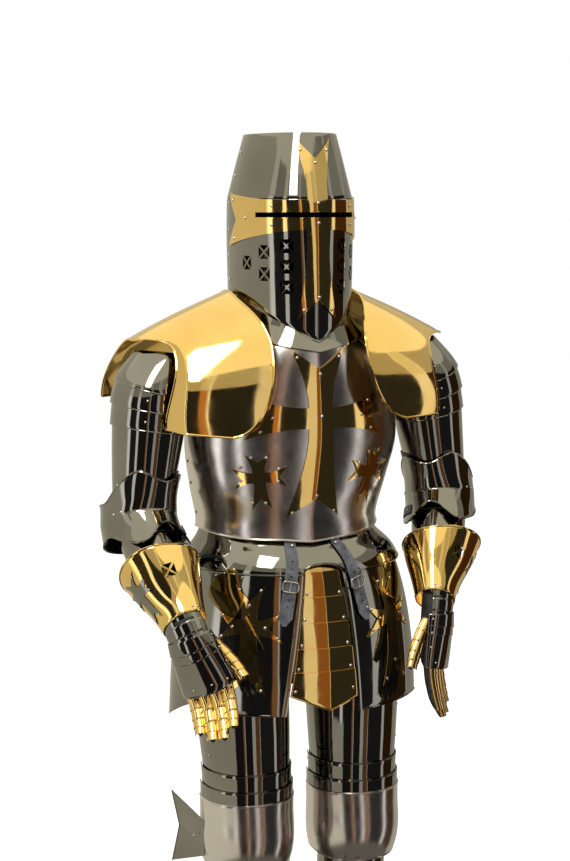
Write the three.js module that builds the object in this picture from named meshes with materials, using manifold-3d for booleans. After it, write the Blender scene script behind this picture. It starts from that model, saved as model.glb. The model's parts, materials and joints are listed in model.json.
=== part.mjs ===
// A suit of plate armour, standing: a great helm, a breast and back plate, a skirt of hanging
// plates, brass pauldrons, jointed arms with gauntlets, and legs down to plain pointed shoes.
// Millimetres, +Z up, the front faces -Y and the suit's own left side is +X.
import * as THREE from "three";
import { mergeVertices } from "three/addons/utils/BufferGeometryUtils.js";
import Module from "manifold-3d";

const wasm = await Module();
wasm.setup();

// Driving dimensions
const PLATE = 1.5; // thickness of the steel and brass sheet
const LEATHER = 2.5; // thickness of the straps
const GLOVE = 1.8; // thickness of the glove leather
const GAP = 0.6; // air between two plates that lie on each other
const SLACK = 1.2; // more air where the plates are curved two ways
const LEFT = 1;
const RIGHT = -1;
const SHOULDER = new THREE.Vector3(270, -10, 1400);
const ELBOWS = {
  right: new THREE.Vector3(-305, -38, 1126),
  left: new THREE.Vector3(312, -15, 1136),
};
const WRISTS = {
  right: new THREE.Vector3(-270, -218, 957),
  left: new THREE.Vector3(236, -163, 949),
};
const HANDS = {
  right: { reach: new THREE.Vector3(0.315, -0.206, -0.927), back: new THREE.Vector3(-0.607, -0.79, 0) },
  left: { reach: new THREE.Vector3(-0.08, -0.08, -0.99), back: new THREE.Vector3(0.79, -0.607, 0) },
};

const STEEL = new THREE.MeshStandardMaterial({ color: 0x3c3a34, roughness: 0.12, metalness: 1 });
const SATIN_STEEL = new THREE.MeshStandardMaterial({ color: 0xb9b2ac, roughness: 0.3, metalness: 1 });
const BRASS = new THREE.MeshStandardMaterial({ color: 0xd9a441, roughness: 0.12, metalness: 1 });
const STRAP = new THREE.MeshStandardMaterial({ color: 0x4b4a4c, roughness: 0.6, metalness: 0 });
const BLACK_GLOVE = new THREE.MeshStandardMaterial({ color: 0x161517, roughness: 0.75, metalness: 0 });

const suit = new THREE.Group();
const degrees = THREE.MathUtils.degToRad;
const ease = THREE.MathUtils.smoothstep;
const mix = THREE.MathUtils.lerp;

// The value of every column of a table at one height, on a smooth curve through its rows.
// The rows run from the top down.
function sectionAt(rows, z) {
  let i = 0;
  while (i < rows.length - 2 && z < rows[i + 1].z) i += 1;
  const [a, b] = [rows[i], rows[i + 1]];
  const t = (z - a.z) / (b.z - a.z);
  const before = rows[Math.max(i - 1, 0)];
  const after = rows[Math.min(i + 2, rows.length - 1)];
  const section = { z };
  for (const key of Object.keys(a)) {
    if (key === "z") continue;
    const span = b.z - a.z;
    const slopeA = ((b[key] - before[key]) / (b.z - before.z)) * span;
    const slopeB = ((after[key] - a[key]) / (after.z - a.z)) * span;
    const [t2, t3] = [t * t, t * t * t];
    section[key] =
      (2 * t3 - 3 * t2 + 1) * a[key] +
      (t3 - 2 * t2 + t) * slopeA +
      (3 * t2 - 2 * t3) * b[key] +
      (t3 - t2) * slopeB;
  }
  return section;
}

// A point of a surface wrapped round an upright axis. Angles run in degrees from the front, 0, to
// the +X side, 90. Columns: z, half-width wide, depths front and back, centre x and y, and keel,
// the rise of a ridge down the front.
const KEEL_SPREAD = 0.55; // radians over which a keel dies away
function around(rows, turn, z) {
  const angle = degrees(turn);
  const row = sectionAt(rows, z);
  const depth = Math.cos(angle) > 0 ? row.front : row.back;
  const keel = (row.keel ?? 0) * Math.exp(-Math.abs(angle) / KEEL_SPREAD);
  return new THREE.Vector3(
    (row.x ?? 0) + row.wide * Math.sin(angle),
    (row.y ?? 0) - depth * Math.cos(angle) - keel,
    z,
  );
}

// A patch of such a surface. top and bottom give its edges' heights for an angle from the front.
const everywhere = (z) => () => z;
function wrapped(rows, { from = -180, to = 180, top, bottom }) {
  return (u, v) => {
    const turn = mix(from, to, u);
    const side = Math.abs(turn > 180 ? turn - 360 : turn < -180 ? turn + 360 : turn);
    return around(rows, turn, mix(bottom(side), top(side), v));
  };
}

// The direction that points out of a surface at one place.
function outwards(surface, u, v) {
  const step = 0.002;
  const alongU = surface(u + step, v).sub(surface(u - step, v));
  const alongV = surface(u, Math.min(v + step, 1)).sub(surface(u, Math.max(v - step, 0)));
  return alongU.cross(alongV).normalize();
}

// A sheet of metal or leather: a grid of points on the surface, and the same points moved in.
// A closed sheet joins up round its axis. lift moves the whole sheet out from the surface.
function sheet(surface, across, along, { thick = PLATE, lift = 0, closed = false } = {}) {
  const columns = closed ? across : across + 1;
  const count = columns * (along + 1);
  const position = new Float32Array(count * 2 * 3);
  for (let j = 0; j <= along; j++)
    for (let i = 0; i < columns; i++) {
      const [u, v] = [i / across, j / along];
      const point = surface(u, v);
      const out = outwards(surface, u, v);
      const n = j * columns + i;
      point.clone().addScaledVector(out, lift).toArray(position, n * 3);
      point.clone().addScaledVector(out, lift - thick).toArray(position, (count + n) * 3);
    }
  const index = [];
  const quad = (a, b, c, d) => index.push(a, b, c, a, c, d);
  const at = (i, j) => j * columns + (i % columns);
  for (let j = 0; j < along; j++)
    for (let i = 0; i < across; i++) {
      quad(at(i, j), at(i + 1, j), at(i + 1, j + 1), at(i, j + 1));
      quad(count + at(i, j + 1), count + at(i + 1, j + 1), count + at(i + 1, j), count + at(i, j));
    }
  for (let i = 0; i < across; i++) {
    quad(at(i + 1, 0), at(i, 0), count + at(i, 0), count + at(i + 1, 0));
    quad(at(i, along), at(i + 1, along), count + at(i + 1, along), count + at(i, along));
  }
  for (let j = 0; j < along && !closed; j++) {
    quad(at(0, j), at(0, j + 1), count + at(0, j + 1), count + at(0, j));
    quad(at(across, j + 1), at(across, j), count + at(across, j), count + at(across, j + 1));
  }
  const geometry = new THREE.BufferGeometry();
  geometry.setAttribute("position", new THREE.BufferAttribute(position, 3));
  geometry.setIndex(index);
  return geometry;
}

// A solid lofted through rings of points, closed with a fan at each end.
function loft(rings) {
  const sides = rings[0].length;
  const points = rings.flat();
  const ends = [rings[0], rings.at(-1)].map((ring) =>
    ring.reduce((sum, p) => sum.add(p), new THREE.Vector3()).divideScalar(sides),
  );
  const position = new Float32Array([...points, ...ends].flatMap((p) => p.toArray()));
  const index = [];
  for (let i = 0; i < sides; i++) {
    const next = (i + 1) % sides;
    for (let j = 0; j < rings.length - 1; j++) {
      const [a, b] = [j * sides + i, j * sides + next];
      index.push(a, b, b + sides, a, b + sides, a + sides);
    }
    const last = (rings.length - 1) * sides;
    index.push(points.length, next, i, points.length + 1, last + i, last + next);
  }
  const geometry = new THREE.BufferGeometry();
  geometry.setAttribute("position", new THREE.BufferAttribute(position, 3));
  geometry.setIndex(index);
  return geometry;
}

function solidOf(geometry) {
  const bare = geometry.clone();
  bare.deleteAttribute("normal");
  bare.deleteAttribute("uv");
  const merged = mergeVertices(bare, 1e-4);
  return new wasm.Manifold(
    new wasm.Mesh({
      numProp: 3,
      vertProperties: merged.getAttribute("position").array,
      triVerts: new Uint32Array(merged.index.array),
    }),
  );
}

function geometryOf(solid) {
  const mesh = solid.getMesh();
  const geometry = new THREE.BufferGeometry();
  geometry.setAttribute("position", new THREE.BufferAttribute(mesh.vertProperties, 3));
  geometry.setIndex(new THREE.BufferAttribute(mesh.triVerts, 1));
  return geometry;
}

const cut = (geometry, tools) =>
  geometryOf(tools.reduce((solid, tool) => solid.subtract(solidOf(tool)), solidOf(geometry)));
const joined = (pieces) => geometryOf(pieces.map(solidOf).reduce((all, piece) => all.add(piece)));
const shared = (a, b) => geometryOf(solidOf(a).intersect(solidOf(b)));

function add(name, geometry, material, frame) {
  if (frame) geometry.applyMatrix4(frame);
  const mesh = new THREE.Mesh(geometry, material);
  mesh.name = name;
  suit.add(mesh);
}

// A frame at origin whose +Z points along up and whose front, -Y, faces as front says.
function frameAt(origin, up, front) {
  const z = up.clone().normalize();
  const y = front.clone().addScaledVector(z, -front.dot(z)).normalize().negate();
  const x = new THREE.Vector3().crossVectors(y, z);
  return new THREE.Matrix4().makeBasis(x, y, z).setPosition(origin);
}

// Surfaces are written for the suit's left side. The right side is their reflection.
function onSide(side, surface) {
  if (side === LEFT) return surface;
  return (u, v) => {
    const point = surface(1 - u, v);
    return point.setX(-point.x);
  };
}

// The outline of a cross with forked ends. waist gives half the width of the upright and of the
// crossbar. Each arm has its length from the centre, the half-width of its end, how deep its fork
// is cut, and how far its end is dropped. The sides of an arm curve in to the waist.
function forkedCross(waist, arms) {
  const outline = [];
  const turns = { up: 0, left: 90, down: 180, right: 270 };
  for (const [name, turn] of Object.entries(turns)) {
    const { reach, end, fork, drop = 0 } = arms[name];
    const upright = name === "up" || name === "down";
    const [half, start] = upright ? [waist.upright, waist.bar] : [waist.bar, waist.upright];
    const shift = name === "left" ? -drop : drop;
    const side = [0.55, 1].map((t) => ({ x: mix(half, end, t * t), y: mix(start, reach, t), t }));
    const arm = [
      { x: half, y: start },
      ...side.map((p) => ({ x: p.x + shift * p.t, y: p.y })),
      { x: shift, y: reach - fork },
      ...side.map((p) => ({ x: shift * p.t - p.x, y: p.y })).reverse(),
    ];
    for (const p of arm)
      outline.push(new THREE.Vector2(p.x, p.y).rotateAround(new THREE.Vector2(), degrees(turn)));
  }
  return outline;
}

// A shape cut from sheet that lies on an upright surface. Its outline is in arc length and height
// from its centre. It is cut from a gently bowed slab, whose points then move to the surface.
const BOW = 0.004;
const SLAB = 10;
const CELL = 24; // widest step across between the points of a cut shape
const STACK = 58; // widest step up it
const MARGIN = 6; // sheet left round a shape before it is cut out
function inlaid(rowsAt, outline, { turn = 0, z, radius, fold, lift = PLATE + GAP + SLACK }) {
  const box = new THREE.Box2().setFromPoints(outline).expandByScalar(MARGIN);
  const across = 2 * Math.ceil((box.max.x - box.min.x) / CELL / 2);
  const levels = fold === undefined ? [box.min.y, box.max.y] : [box.min.y, fold - z, box.max.y];
  const stack = levels.slice(1).flatMap((high, i) => {
    const steps = Math.ceil((high - levels[i]) / STACK);
    return Array.from({ length: steps }, (_, k) => mix(levels[i], high, k / steps));
  });
  stack.push(box.max.y);
  const bow = (x, y) => -BOW * (x * x + y * y);
  const slab = (u, v) => {
    const level = Math.min(Math.floor(v * (stack.length - 1)), stack.length - 2);
    const y = mix(stack[level], stack[level + 1], v * (stack.length - 1) - level);
    const x = mix(box.min.x, box.max.x, u);
    return new THREE.Vector3(x, y, bow(x, y));
  };
  const blank = sheet(slab, across, stack.length - 1, { thick: SLAB });
  const deep = BOW * 2 * 250 ** 2;
  const straight = { depth: 2 * deep, bevelEnabled: false };
  const prism = new THREE.ExtrudeGeometry(new THREE.Shape(outline), straight);
  const flat = shared(blank, prism.translate(0, 0, -deep));
  const position = flat.getAttribute("position");
  const at = (x, y) => around(rowsAt(z + y), turn + THREE.MathUtils.radToDeg(x / radius), z + y);
  for (let i = 0; i < position.count; i++) {
    const [x, y] = [position.getX(i), position.getY(i)];
    const inner = position.getZ(i) < bow(x, y) - SLAB / 2;
    const point = at(x, y);
    const rise = at(x, y + 0.5).sub(at(x, y - 0.5));
    const out = at(x + 0.5, y).sub(at(x - 0.5, y)).cross(rise).normalize();
    point.addScaledVector(out, inner ? lift - PLATE : lift);
    position.setXYZ(i, point.x, point.y, point.z);
  }
  return flat;
}

// A prism that runs out from an upright axis. Its outline gives arc length and height.
function radialPrism(outline, radius, x, z) {
  const shape = new THREE.Shape(outline);
  const prism = new THREE.ExtrudeGeometry(shape, { depth: 1, bevelEnabled: false });
  const position = prism.getAttribute("position");
  for (let i = 0; i < position.count; i++) {
    const angle = position.getX(i) / radius + degrees(x);
    const distance = mix(radius * 0.3, radius * 1.9, position.getZ(i));
    const height = z + position.getY(i);
    position.setXYZ(i, distance * Math.sin(angle), -distance * Math.cos(angle), height);
  }
  return prism;
}

// The four triangles that leave an X standing in a square opening.
function breath(size, bar) {
  const half = size / 2;
  const inner = bar * Math.SQRT1_2;
  return [0, 90, 180, 270].map((turn) =>
    [
      [half - inner, half],
      [-half + inner, half],
      [0, inner],
    ].map(([x, y]) => new THREE.Vector2(x, y).rotateAround(new THREE.Vector2(), degrees(turn))),
  );
}

// Great helm: tapered plates above, a barrel below, a flat crown and a riveted brass cross.
const HELM_CREASE = 1714; // height where the taper begins
const HELM_TOP = 1833;
const HELM_SEAM = 104; // degrees from the front to the side seam
const HELM_UPPER = [
  { z: 1840, wide: 81, front: 123, back: 118, keel: 0 },
  { z: HELM_TOP, wide: 82, front: 125, back: 120, keel: 0 },
  { z: 1775, wide: 98, front: 138, back: 134, keel: 0 },
  { z: HELM_CREASE, wide: 114, front: 150, back: 146, keel: 2 },
];
const HELM_LOWER = [
  { z: HELM_CREASE, wide: 114, front: 150, back: 146, keel: 2 },
  { z: 1650, wide: 115, front: 151, back: 147, keel: 6 },
  { z: 1540, wide: 113, front: 150, back: 143, keel: 9 },
  { z: 1440, wide: 111, front: 149, back: 140, keel: 10 },
];
const helmEdge = (side) => 1458 + 80 * Math.min(side / 82, 1);
const HELM_RADIUS = 125; // the radius that turns arc length round the helm into an angle

const EYE_SLIT = { length: 208, high: 9, pieces: 8 };
const SLIT_HEIGHT = 1685;
const rectangle = (left, right, half) =>
  [
    [left, -half],
    [right, -half],
    [right, half],
    [left, half],
  ].map(([x, y]) => new THREE.Vector2(x, y));
const BREATHS = [
  { turn: 22, z: 1629 },
  { turn: 22, z: 1592 },
  { turn: 22, z: 1555 },
  { turn: 41, z: 1618 },
  { turn: 41, z: 1578 },
  { turn: 60, z: 1598 },
];
const BREATH_SIZE = 25;
const BREATH_BAR = 3.4;

function addHelm() {
  const inside = { lift: -(PLATE + GAP) };
  const front = { from: -HELM_SEAM, to: HELM_SEAM };
  const back = { from: HELM_SEAM - 8, to: 368 - HELM_SEAM };
  const upper = { top: everywhere(HELM_TOP), bottom: everywhere(HELM_CREASE + GAP) };
  const lower = { top: everywhere(HELM_CREASE - GAP), bottom: helmEdge };
  const crown = new THREE.CylinderGeometry(1, 1, PLATE, 32).rotateX(Math.PI / 2);
  const rim = sectionAt(HELM_UPPER, HELM_TOP);
  const inset = 2 * (PLATE + GAP) + 0.4;
  crown.scale(rim.wide - inset, (rim.front + rim.back) / 2 - inset, 1);
  add("helm_crown", crown.translate(0, (rim.back - rim.front) / 2, HELM_TOP - 2), STEEL);
  add("helm_upper_front", sheet(wrapped(HELM_UPPER, { ...front, ...upper }), 22, 1), STEEL);
  add("helm_upper_back", sheet(wrapped(HELM_UPPER, { ...back, ...upper }), 14, 1, inside), STEEL);
  add("helm_lower_back", sheet(wrapped(HELM_LOWER, { ...back, ...lower }), 14, 2, inside), STEEL);

  const slit = Array.from({ length: EYE_SLIT.pieces }, (_, i) => {
    const step = EYE_SLIT.length / EYE_SLIT.pieces;
    const left = i * step - EYE_SLIT.length / 2;
    const opening = rectangle(left - 0.1, left + step, EYE_SLIT.high / 2);
    return radialPrism(opening, HELM_RADIUS, 0, SLIT_HEIGHT);
  });
  const holes = BREATHS.flatMap(({ turn, z }) =>
    [-turn, turn].flatMap((side) =>
      breath(BREATH_SIZE, BREATH_BAR).map((outline) => radialPrism(outline, HELM_RADIUS, side, z)),
    ),
  );
  const barrel = sheet(wrapped(HELM_LOWER, { ...front, ...lower }), 22, 2);
  add("helm_lower_front", cut(barrel, [...slit, ...holes]), STEEL);

  const outline = forkedCross(
    { upright: 21, bar: 27 },
    {
      up: { reach: 138, end: 50, fork: 38 },
      left: { reach: 198, end: 49, fork: 28, drop: 10 },
      down: { reach: 190, end: 41, fork: 36 },
      right: { reach: 198, end: 49, fork: 28, drop: 10 },
    },
  );
  const rowsAt = (z) => (z > HELM_CREASE ? HELM_UPPER : HELM_LOWER);
  const place = { z: SLIT_HEIGHT + 1, radius: HELM_RADIUS, fold: HELM_CREASE };
  add("helm_cross", cut(inlaid(rowsAt, outline, place), slit), BRASS);
}

// Collar that stands on the breastplate and closes the helm's lower edge.
const GORGET = [
  { z: 1552, wide: 104, front: 139, back: 128, keel: 8 },
  { z: 1518, wide: 107, front: 142, back: 127, keel: 9 },
  { z: 1480, wide: 126, front: 143, back: 121, keel: 10 },
  { z: 1430, wide: 176, front: 160, back: 132, keel: 13 },
];
function addGorget() {
  const top = (side) => helmEdge(side) - 1.5 + 7.5 * ease(side, 0, 25);
  const bottom = (side) => 1438 + 34 * Math.min(side / 75, 1);
  add("gorget", sheet(wrapped(GORGET, { top, bottom }), 24, 2, { closed: true }), STEEL);
}

// Breast and back plates, with a large forked cross and two small ones.
const TORSO = [
  { z: 1500, wide: 108, front: 128, back: 100, keel: 9, x: 0 },
  { z: 1455, wide: 146, front: 146, back: 112, keel: 12, x: 0 },
  { z: 1390, wide: 184, front: 152, back: 124, keel: 14, x: 0 },
  { z: 1276, wide: 210, front: 156, back: 128, keel: 14, x: 2 },
  { z: 1180, wide: 194, front: 150, back: 120, keel: 13, x: -5 },
  { z: 1120, wide: 180, front: 141, back: 112, keel: 11, x: -8 },
  { z: 1085, wide: 182, front: 147, back: 115, keel: 10, x: -8 },
];
const WAIST_EDGE = 1092; // lower edge of the breastplate at the sides
const breastTop = (side) => 1452 + 8 * ease(side, 0, 35) - 128 * ease(side, 36, 84);
const breastEdge = (side) => WAIST_EDGE + 12 * ease(side, 30, 90) - 4 * (1 - ease(side, 0, 20));
const backTop = (side) => 1332 + 128 * ease(side, 96, 140) + 24 * ease(side, 140, 175);

function addTorso() {
  const front = wrapped(TORSO, { from: -90, to: 90, top: breastTop, bottom: breastEdge });
  const back = wrapped(TORSO, { from: 84, to: 276, top: backTop, bottom: everywhere(WAIST_EDGE + 10) });
  add("breastplate", sheet(front, 22, 7), SATIN_STEEL);
  add("backplate", sheet(back, 14, 5, { lift: -(PLATE + GAP + 2 * SLACK) }), SATIN_STEEL);

  const radius = 180;
  const torso = () => TORSO;
  const big = forkedCross(
    { upright: 20, bar: 19 },
    {
      up: { reach: 126, end: 60, fork: 36 },
      left: { reach: 124, end: 40, fork: 27 },
      down: { reach: 183, end: 50, fork: 34 },
      right: { reach: 124, end: 40, fork: 27 },
    },
  );
  add("breast_cross", inlaid(torso, big, { z: 1318, radius }), BRASS);
  const small = forkedCross(
    { upright: 10, bar: 9 },
    {
      up: { reach: 44, end: 22, fork: 15 },
      left: { reach: 48, end: 20, fork: 16 },
      down: { reach: 60, end: 20, fork: 22 },
      right: { reach: 48, end: 20, fork: 16 },
    },
  );
  const lean = small.map((p) => p.clone().rotateAround(new THREE.Vector2(), degrees(5)));
  const rightWay = small.map((p) => p.clone().rotateAround(new THREE.Vector2(), degrees(-5)));
  add("breast_star_right", inlaid(torso, lean, { turn: -31, z: 1209, radius }), BRASS);
  add("breast_star_left", inlaid(torso, rightWay, { turn: 35, z: 1211, radius }), BRASS);
}

// Skirt: a waist lame over five brass lames, front and side tassets and a plate behind.
const SKIRT = [
  { z: 1120, wide: 158, front: 120, back: 92, keel: 4, x: -8 },
  { z: 1085, wide: 173, front: 138, back: 106, keel: 5, x: -6 },
  { z: 1055, wide: 198, front: 166, back: 130, keel: 6, x: 0 },
  { z: 1030, wide: 210, front: 178, back: 144, keel: 6, x: 2 },
  { z: 950, wide: 230, front: 188, back: 162, keel: 6, x: 6 },
  { z: 850, wide: 243, front: 194, back: 174, keel: 8, x: 8 },
  { z: 720, wide: 249, front: 198, back: 184, keel: 8, x: 8 },
];
const FAULD_TOP = 1109;
const TASSET_TOP = 1040;
const FAULD_EDGE = 1031;
const ARCH = { turn: 11, rise: 17 }; // half-angle and height of the arch over the brass lames
const faulds = (side) => FAULD_EDGE + ARCH.rise * Math.sqrt(Math.max(0, 1 - (side / ARCH.turn) ** 2));
const LAMES = [
  { top: 1062, bottom: 984, lift: 0 },
  { top: 990, bottom: 937, lift: 1 },
  { top: 943, bottom: 890, lift: 2 },
  { top: 896, bottom: 847, lift: 3 },
  { top: 853, bottom: 806, lift: 4 },
];
const PANEL = { top: 1046, bottom: 806, halfTop: 9.2, halfBottom: 15.2, lean: -2.4 }; // degrees
const POINT = 26; // how far the last lame comes down to a point
const LAME_DROP = 3; // how far the lames lie behind the plates beside them
const downPanel = (z) => (PANEL.top - z) / (PANEL.top - PANEL.bottom);
const panelHalf = (z) => mix(PANEL.halfTop, PANEL.halfBottom, downPanel(z));
const panelLean = (z) => PANEL.lean * downPanel(z);

function hangingPlate(left, right, top, bottom) {
  return (u, v) => {
    const turn = mix(left(v), right(v), u);
    const side = Math.abs(turn);
    return around(SKIRT, turn, mix(bottom(side), top, v));
  };
}

function addSkirt() {
  const over = { lift: 2 * (PLATE + GAP) };
  const turn = { from: -96, to: 96, top: everywhere(FAULD_TOP), bottom: faulds };
  const rear = { from: 90, to: 270, top: everywhere(FAULD_TOP), bottom: everywhere(FAULD_EDGE) };
  add("fauld_front", sheet(wrapped(SKIRT, turn), 32, 3, over), STEEL);
  add("fauld_back", sheet(wrapped(SKIRT, rear), 14, 3, { lift: PLATE + GAP }), STEEL);

  LAMES.forEach((lame, i) => {
    const last = i === LAMES.length - 1;
    const half = panelHalf(lame.bottom);
    const bottom = (side) => (last ? lame.bottom - POINT * (1 - side / half) : lame.bottom);
    const edge = (v, side) => {
      const z = mix(lame.bottom, lame.top, v);
      return panelLean(z) + side * panelHalf(z);
    };
    const surface = hangingPlate(
      (v) => edge(v, -1),
      (v) => edge(v, 1),
      lame.top,
      bottom,
    );
    const lift = (lame.lift - 1) * (PLATE + GAP) - LAME_DROP;
    add("fauld_lame_" + (i + 1), sheet(surface, 8, 1, { lift }), BRASS);
  });

  for (const [name, side] of [["right", RIGHT], ["left", LEFT]]) {
    const innerEdge = (v) => mix(17.4 - 2.8 * side, 11.4, v);
    const plateOn = (inner, outer, top, bottom) =>
      side === LEFT
        ? hangingPlate(inner, outer, top, bottom)
        : hangingPlate((v) => -outer(v), (v) => -inner(v), top, bottom);
    const frontTasset = plateOn(innerEdge, everywhere(62), TASSET_TOP, everywhere(772));
    const hem = (turned) => mix(790, 730, ease(turned, 55, 110));
    const sideTasset = plateOn(everywhere(55), everywhere(128), TASSET_TOP, hem);
    add("tasset_front_" + name, sheet(frontTasset, 8, 3), STEEL);
    const under = { lift: -(PLATE + GAP + SLACK) };
    add("tasset_side_" + name, sheet(sideTasset, 8, 3, under), STEEL);
    const outline = forkedCross(
      { upright: 14, bar: 14 },
      {
        up: { reach: 78, end: 30, fork: 30 },
        left: { reach: 62, end: 30, fork: 26 },
        down: { reach: 128, end: 34, fork: 34 },
        right: { reach: 62, end: 30, fork: 26 },
      },
    );
    const place = { turn: side * 37, z: 936, radius: 215 };
    add("tasset_cross_" + name, inlaid(() => SKIRT, outline, place), BRASS);
  }
  const culet = wrapped(SKIRT, { from: 122, to: 238, top: everywhere(TASSET_TOP), bottom: everywhere(728) });
  add("culet", sheet(culet, 10, 3, { lift: -2 * (PLATE + GAP + SLACK) }), STEEL);
}

// Straps that hang from the waist lame over the front tassets, each with a buckle frame.
const STRAPS = {
  right: { top: 1103, tip: 940, turns: [-13.6, -20.4], buckle: 1011 },
  left: { top: 1103, tip: 940, turns: [13.2, 19.4], buckle: 1011 },
};
const STRAP_HALF = 3.2; // degrees
function addStraps() {
  const lift = 2 * (PLATE + GAP) + GAP + LEATHER + SLACK;
  for (const [name, strap] of Object.entries(STRAPS)) {
    const surface = (u, v) => {
      const centre = mix(strap.turns[1], strap.turns[0], v);
      const half = STRAP_HALF * Math.min(1, 0.25 + v * 9);
      return around(SKIRT, centre + mix(-half, half, u), mix(strap.tip, strap.top, v));
    };
    add("strap_" + name, sheet(surface, 2, 7, { thick: LEATHER, lift }), STRAP);
    const frame = new THREE.Shape([
      new THREE.Vector2(-16, -11),
      new THREE.Vector2(16, -11),
      new THREE.Vector2(16, 11),
      new THREE.Vector2(-16, 11),
    ]);
    frame.holes.push(
      new THREE.Path([
        new THREE.Vector2(-12.5, -7.5),
        new THREE.Vector2(-12.5, 7.5),
        new THREE.Vector2(12.5, 7.5),
        new THREE.Vector2(12.5, -7.5),
      ]),
    );
    const bar = new THREE.ExtrudeGeometry(frame, { depth: 3, bevelEnabled: false });
    const t = (strap.buckle - strap.tip) / (strap.top - strap.tip);
    const turn = mix(strap.turns[1], strap.turns[0], t);
    const at = around(SKIRT, turn, strap.buckle);
    const up = around(SKIRT, turn, strap.buckle + 12).sub(at).normalize();
    const across = around(SKIRT, turn + 1, strap.buckle).sub(around(SKIRT, turn - 1, strap.buckle));
    const out = new THREE.Vector3().crossVectors(across, up).normalize();
    const place = frameAt(at.clone().addScaledVector(out, lift + 0.3), up, out);
    bar.rotateX(Math.PI / 2);
    add("buckle_" + name, bar, SATIN_STEEL, place);
  }
}

// Pauldrons: brass shells over the shoulders, with a wing in front and another behind.
// Columns: x, the height of the ridge, and how far the shell reaches forward and back.
const PAULDRON = [
  { z: 320, top: 1452, front: 112, back: 120 },
  { z: 290, top: 1470, front: 126, back: 128 },
  { z: 220, top: 1504, front: 154, back: 138 },
  { z: 150, top: 1534, front: 173, back: 140 },
  { z: 84, top: 1560, front: 184, back: 138 },
];
const SPRING = 1330; // height of the centre that the shell curves round
const WINGS = {
  right: { inner: 89, bottom: 1290 },
  left: { inner: 96, bottom: 1312 },
};
function pauldron(wing) {
  return (u, v) => {
    const lowest = THREE.MathUtils.radToDeg(Math.acos((wing.bottom - SPRING) / 190));
    const turn = mix(lowest, -84, v);
    const forward = ease(turn, 15, 60);
    const rounding = 66 * ease(turn, 74, lowest) ** 2;
    const inner = mix(124, wing.inner, forward) + rounding + 10 * ease(-turn, 40, 92);
    const outer = 310 - 54 * ease(turn, 4, 46) + 26 * ease(turn, 50, 100) + 26 * ease(-turn, 10, 80);
    const x = mix(inner, outer, u);
    const row = sectionAt(PAULDRON, x);
    const angle = degrees(turn);
    const reach = turn > 0 ? row.front : row.back;
    return new THREE.Vector3(x, -reach * Math.sin(angle), SPRING + (row.top - SPRING) * Math.cos(angle));
  };
}

// Arms. Each is made in frames of its own: the upper arm stands on the elbow, the forearm
// runs down from it, the cuff and the hand hang from the wrist.
const UPPER_ARM = [
  { z: 330, wide: 40, front: 48, back: 48, x: -34 },
  { z: 300, wide: 52, front: 60, back: 60, x: -22 },
  { z: 250, wide: 65, front: 67, back: 67, x: -4 },
  { z: 190, wide: 68, front: 68, back: 68, x: 0 },
  { z: 120, wide: 63, front: 63, back: 63, x: 0 },
  { z: 40, wide: 55, front: 55, back: 55, x: 0 },
];
const SHOULDER_LAMES = [
  { name: "upper", top: 306, bottom: 246, lift: 3, rows: 2 },
  { name: "middle", top: 256, bottom: 208, lift: 2, rows: 1 },
  { name: "lower", top: 218, bottom: 170, lift: 1, rows: 1 },
];
const COUTER = [
  { z: 66, wide: 72, front: 103, back: 66 },
  { z: 30, wide: 67, front: 83, back: 78 },
  { z: 2, wide: 68, front: 71, back: 86 },
  { z: -2, wide: 68, front: 71, back: 86 },
  { z: -30, wide: 68, front: 82, back: 84 },
  { z: -66, wide: 74, front: 102, back: 76 },
];
const FOREARM = [
  { z: -20, wide: 53, front: 51, back: 53 },
  { z: -80, wide: 52, front: 50, back: 52 },
  { z: -160, wide: 45, front: 42, back: 42 },
];
const CUFF = [
  { z: 150, wide: 80, front: 86, back: 72 },
  { z: 100, wide: 66, front: 68, back: 61 },
  { z: 50, wide: 50, front: 46, back: 46 },
  { z: 12, wide: 42, front: 37, back: 37 },
];
const HAND_PLATE = [
  { z: 0, wide: 38, front: 34, back: 30 },
  { z: -40, wide: 46, front: 35, back: 30 },
  { z: -80, wide: 51, front: 33, back: 28 },
  { z: -112, wide: 53, front: 30, back: 26 },
];
const PALM = [
  { z: 24, wide: 29, front: 25, back: 25 },
  { z: -30, wide: 38, front: 25, back: 25 },
  { z: -80, wide: 45, front: 21, back: 24 },
  { z: -108, wide: 45, front: 15, back: 18 },
];
const FINGERS = [
  { x: 33, length: 98, radius: 11 },
  { x: 11.5, length: 114, radius: 11.3 },
  { x: -11.5, length: 110, radius: 11.3 },
  { x: -33, length: 92, radius: 10.5 },
];
const CURL = { right: 14, left: 7 }; // degrees that each finger joint is bent
const KNUCKLES = -98; // height where the fingers leave the palm
const THUMB = { across: 24, y: 8, z: -26, length: 100, radius: 12.5 };

// Rings of a finger that bends towards the palm, +Y, from a knuckle.
function fingerRings(base, heading, { length, radius }, bend) {
  const rings = [];
  const direction = heading.clone();
  const centre = base.clone();
  const joints = [
    { step: 0, scale: 1 },
    { step: 0.38, scale: 0.96 },
    { step: 0.34, scale: 0.86 },
    { step: 0.28, scale: 0.6 },
  ];
  for (const { step, scale } of joints) {
    centre.addScaledVector(direction, step * length);
    const across = new THREE.Vector3(0, 1, 0).cross(direction).normalize();
    const over = new THREE.Vector3().crossVectors(direction, across);
    rings.push(
      Array.from({ length: 5 }, (_, i) => {
        const angle = (i / 5) * 2 * Math.PI;
        return centre
          .clone()
          .addScaledVector(across, radius * scale * Math.cos(angle))
          .addScaledVector(over, radius * scale * Math.sin(angle));
      }),
    );
    direction.applyAxisAngle(new THREE.Vector3(1, 0, 0), -degrees(bend));
  }
  return rings;
}

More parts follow.
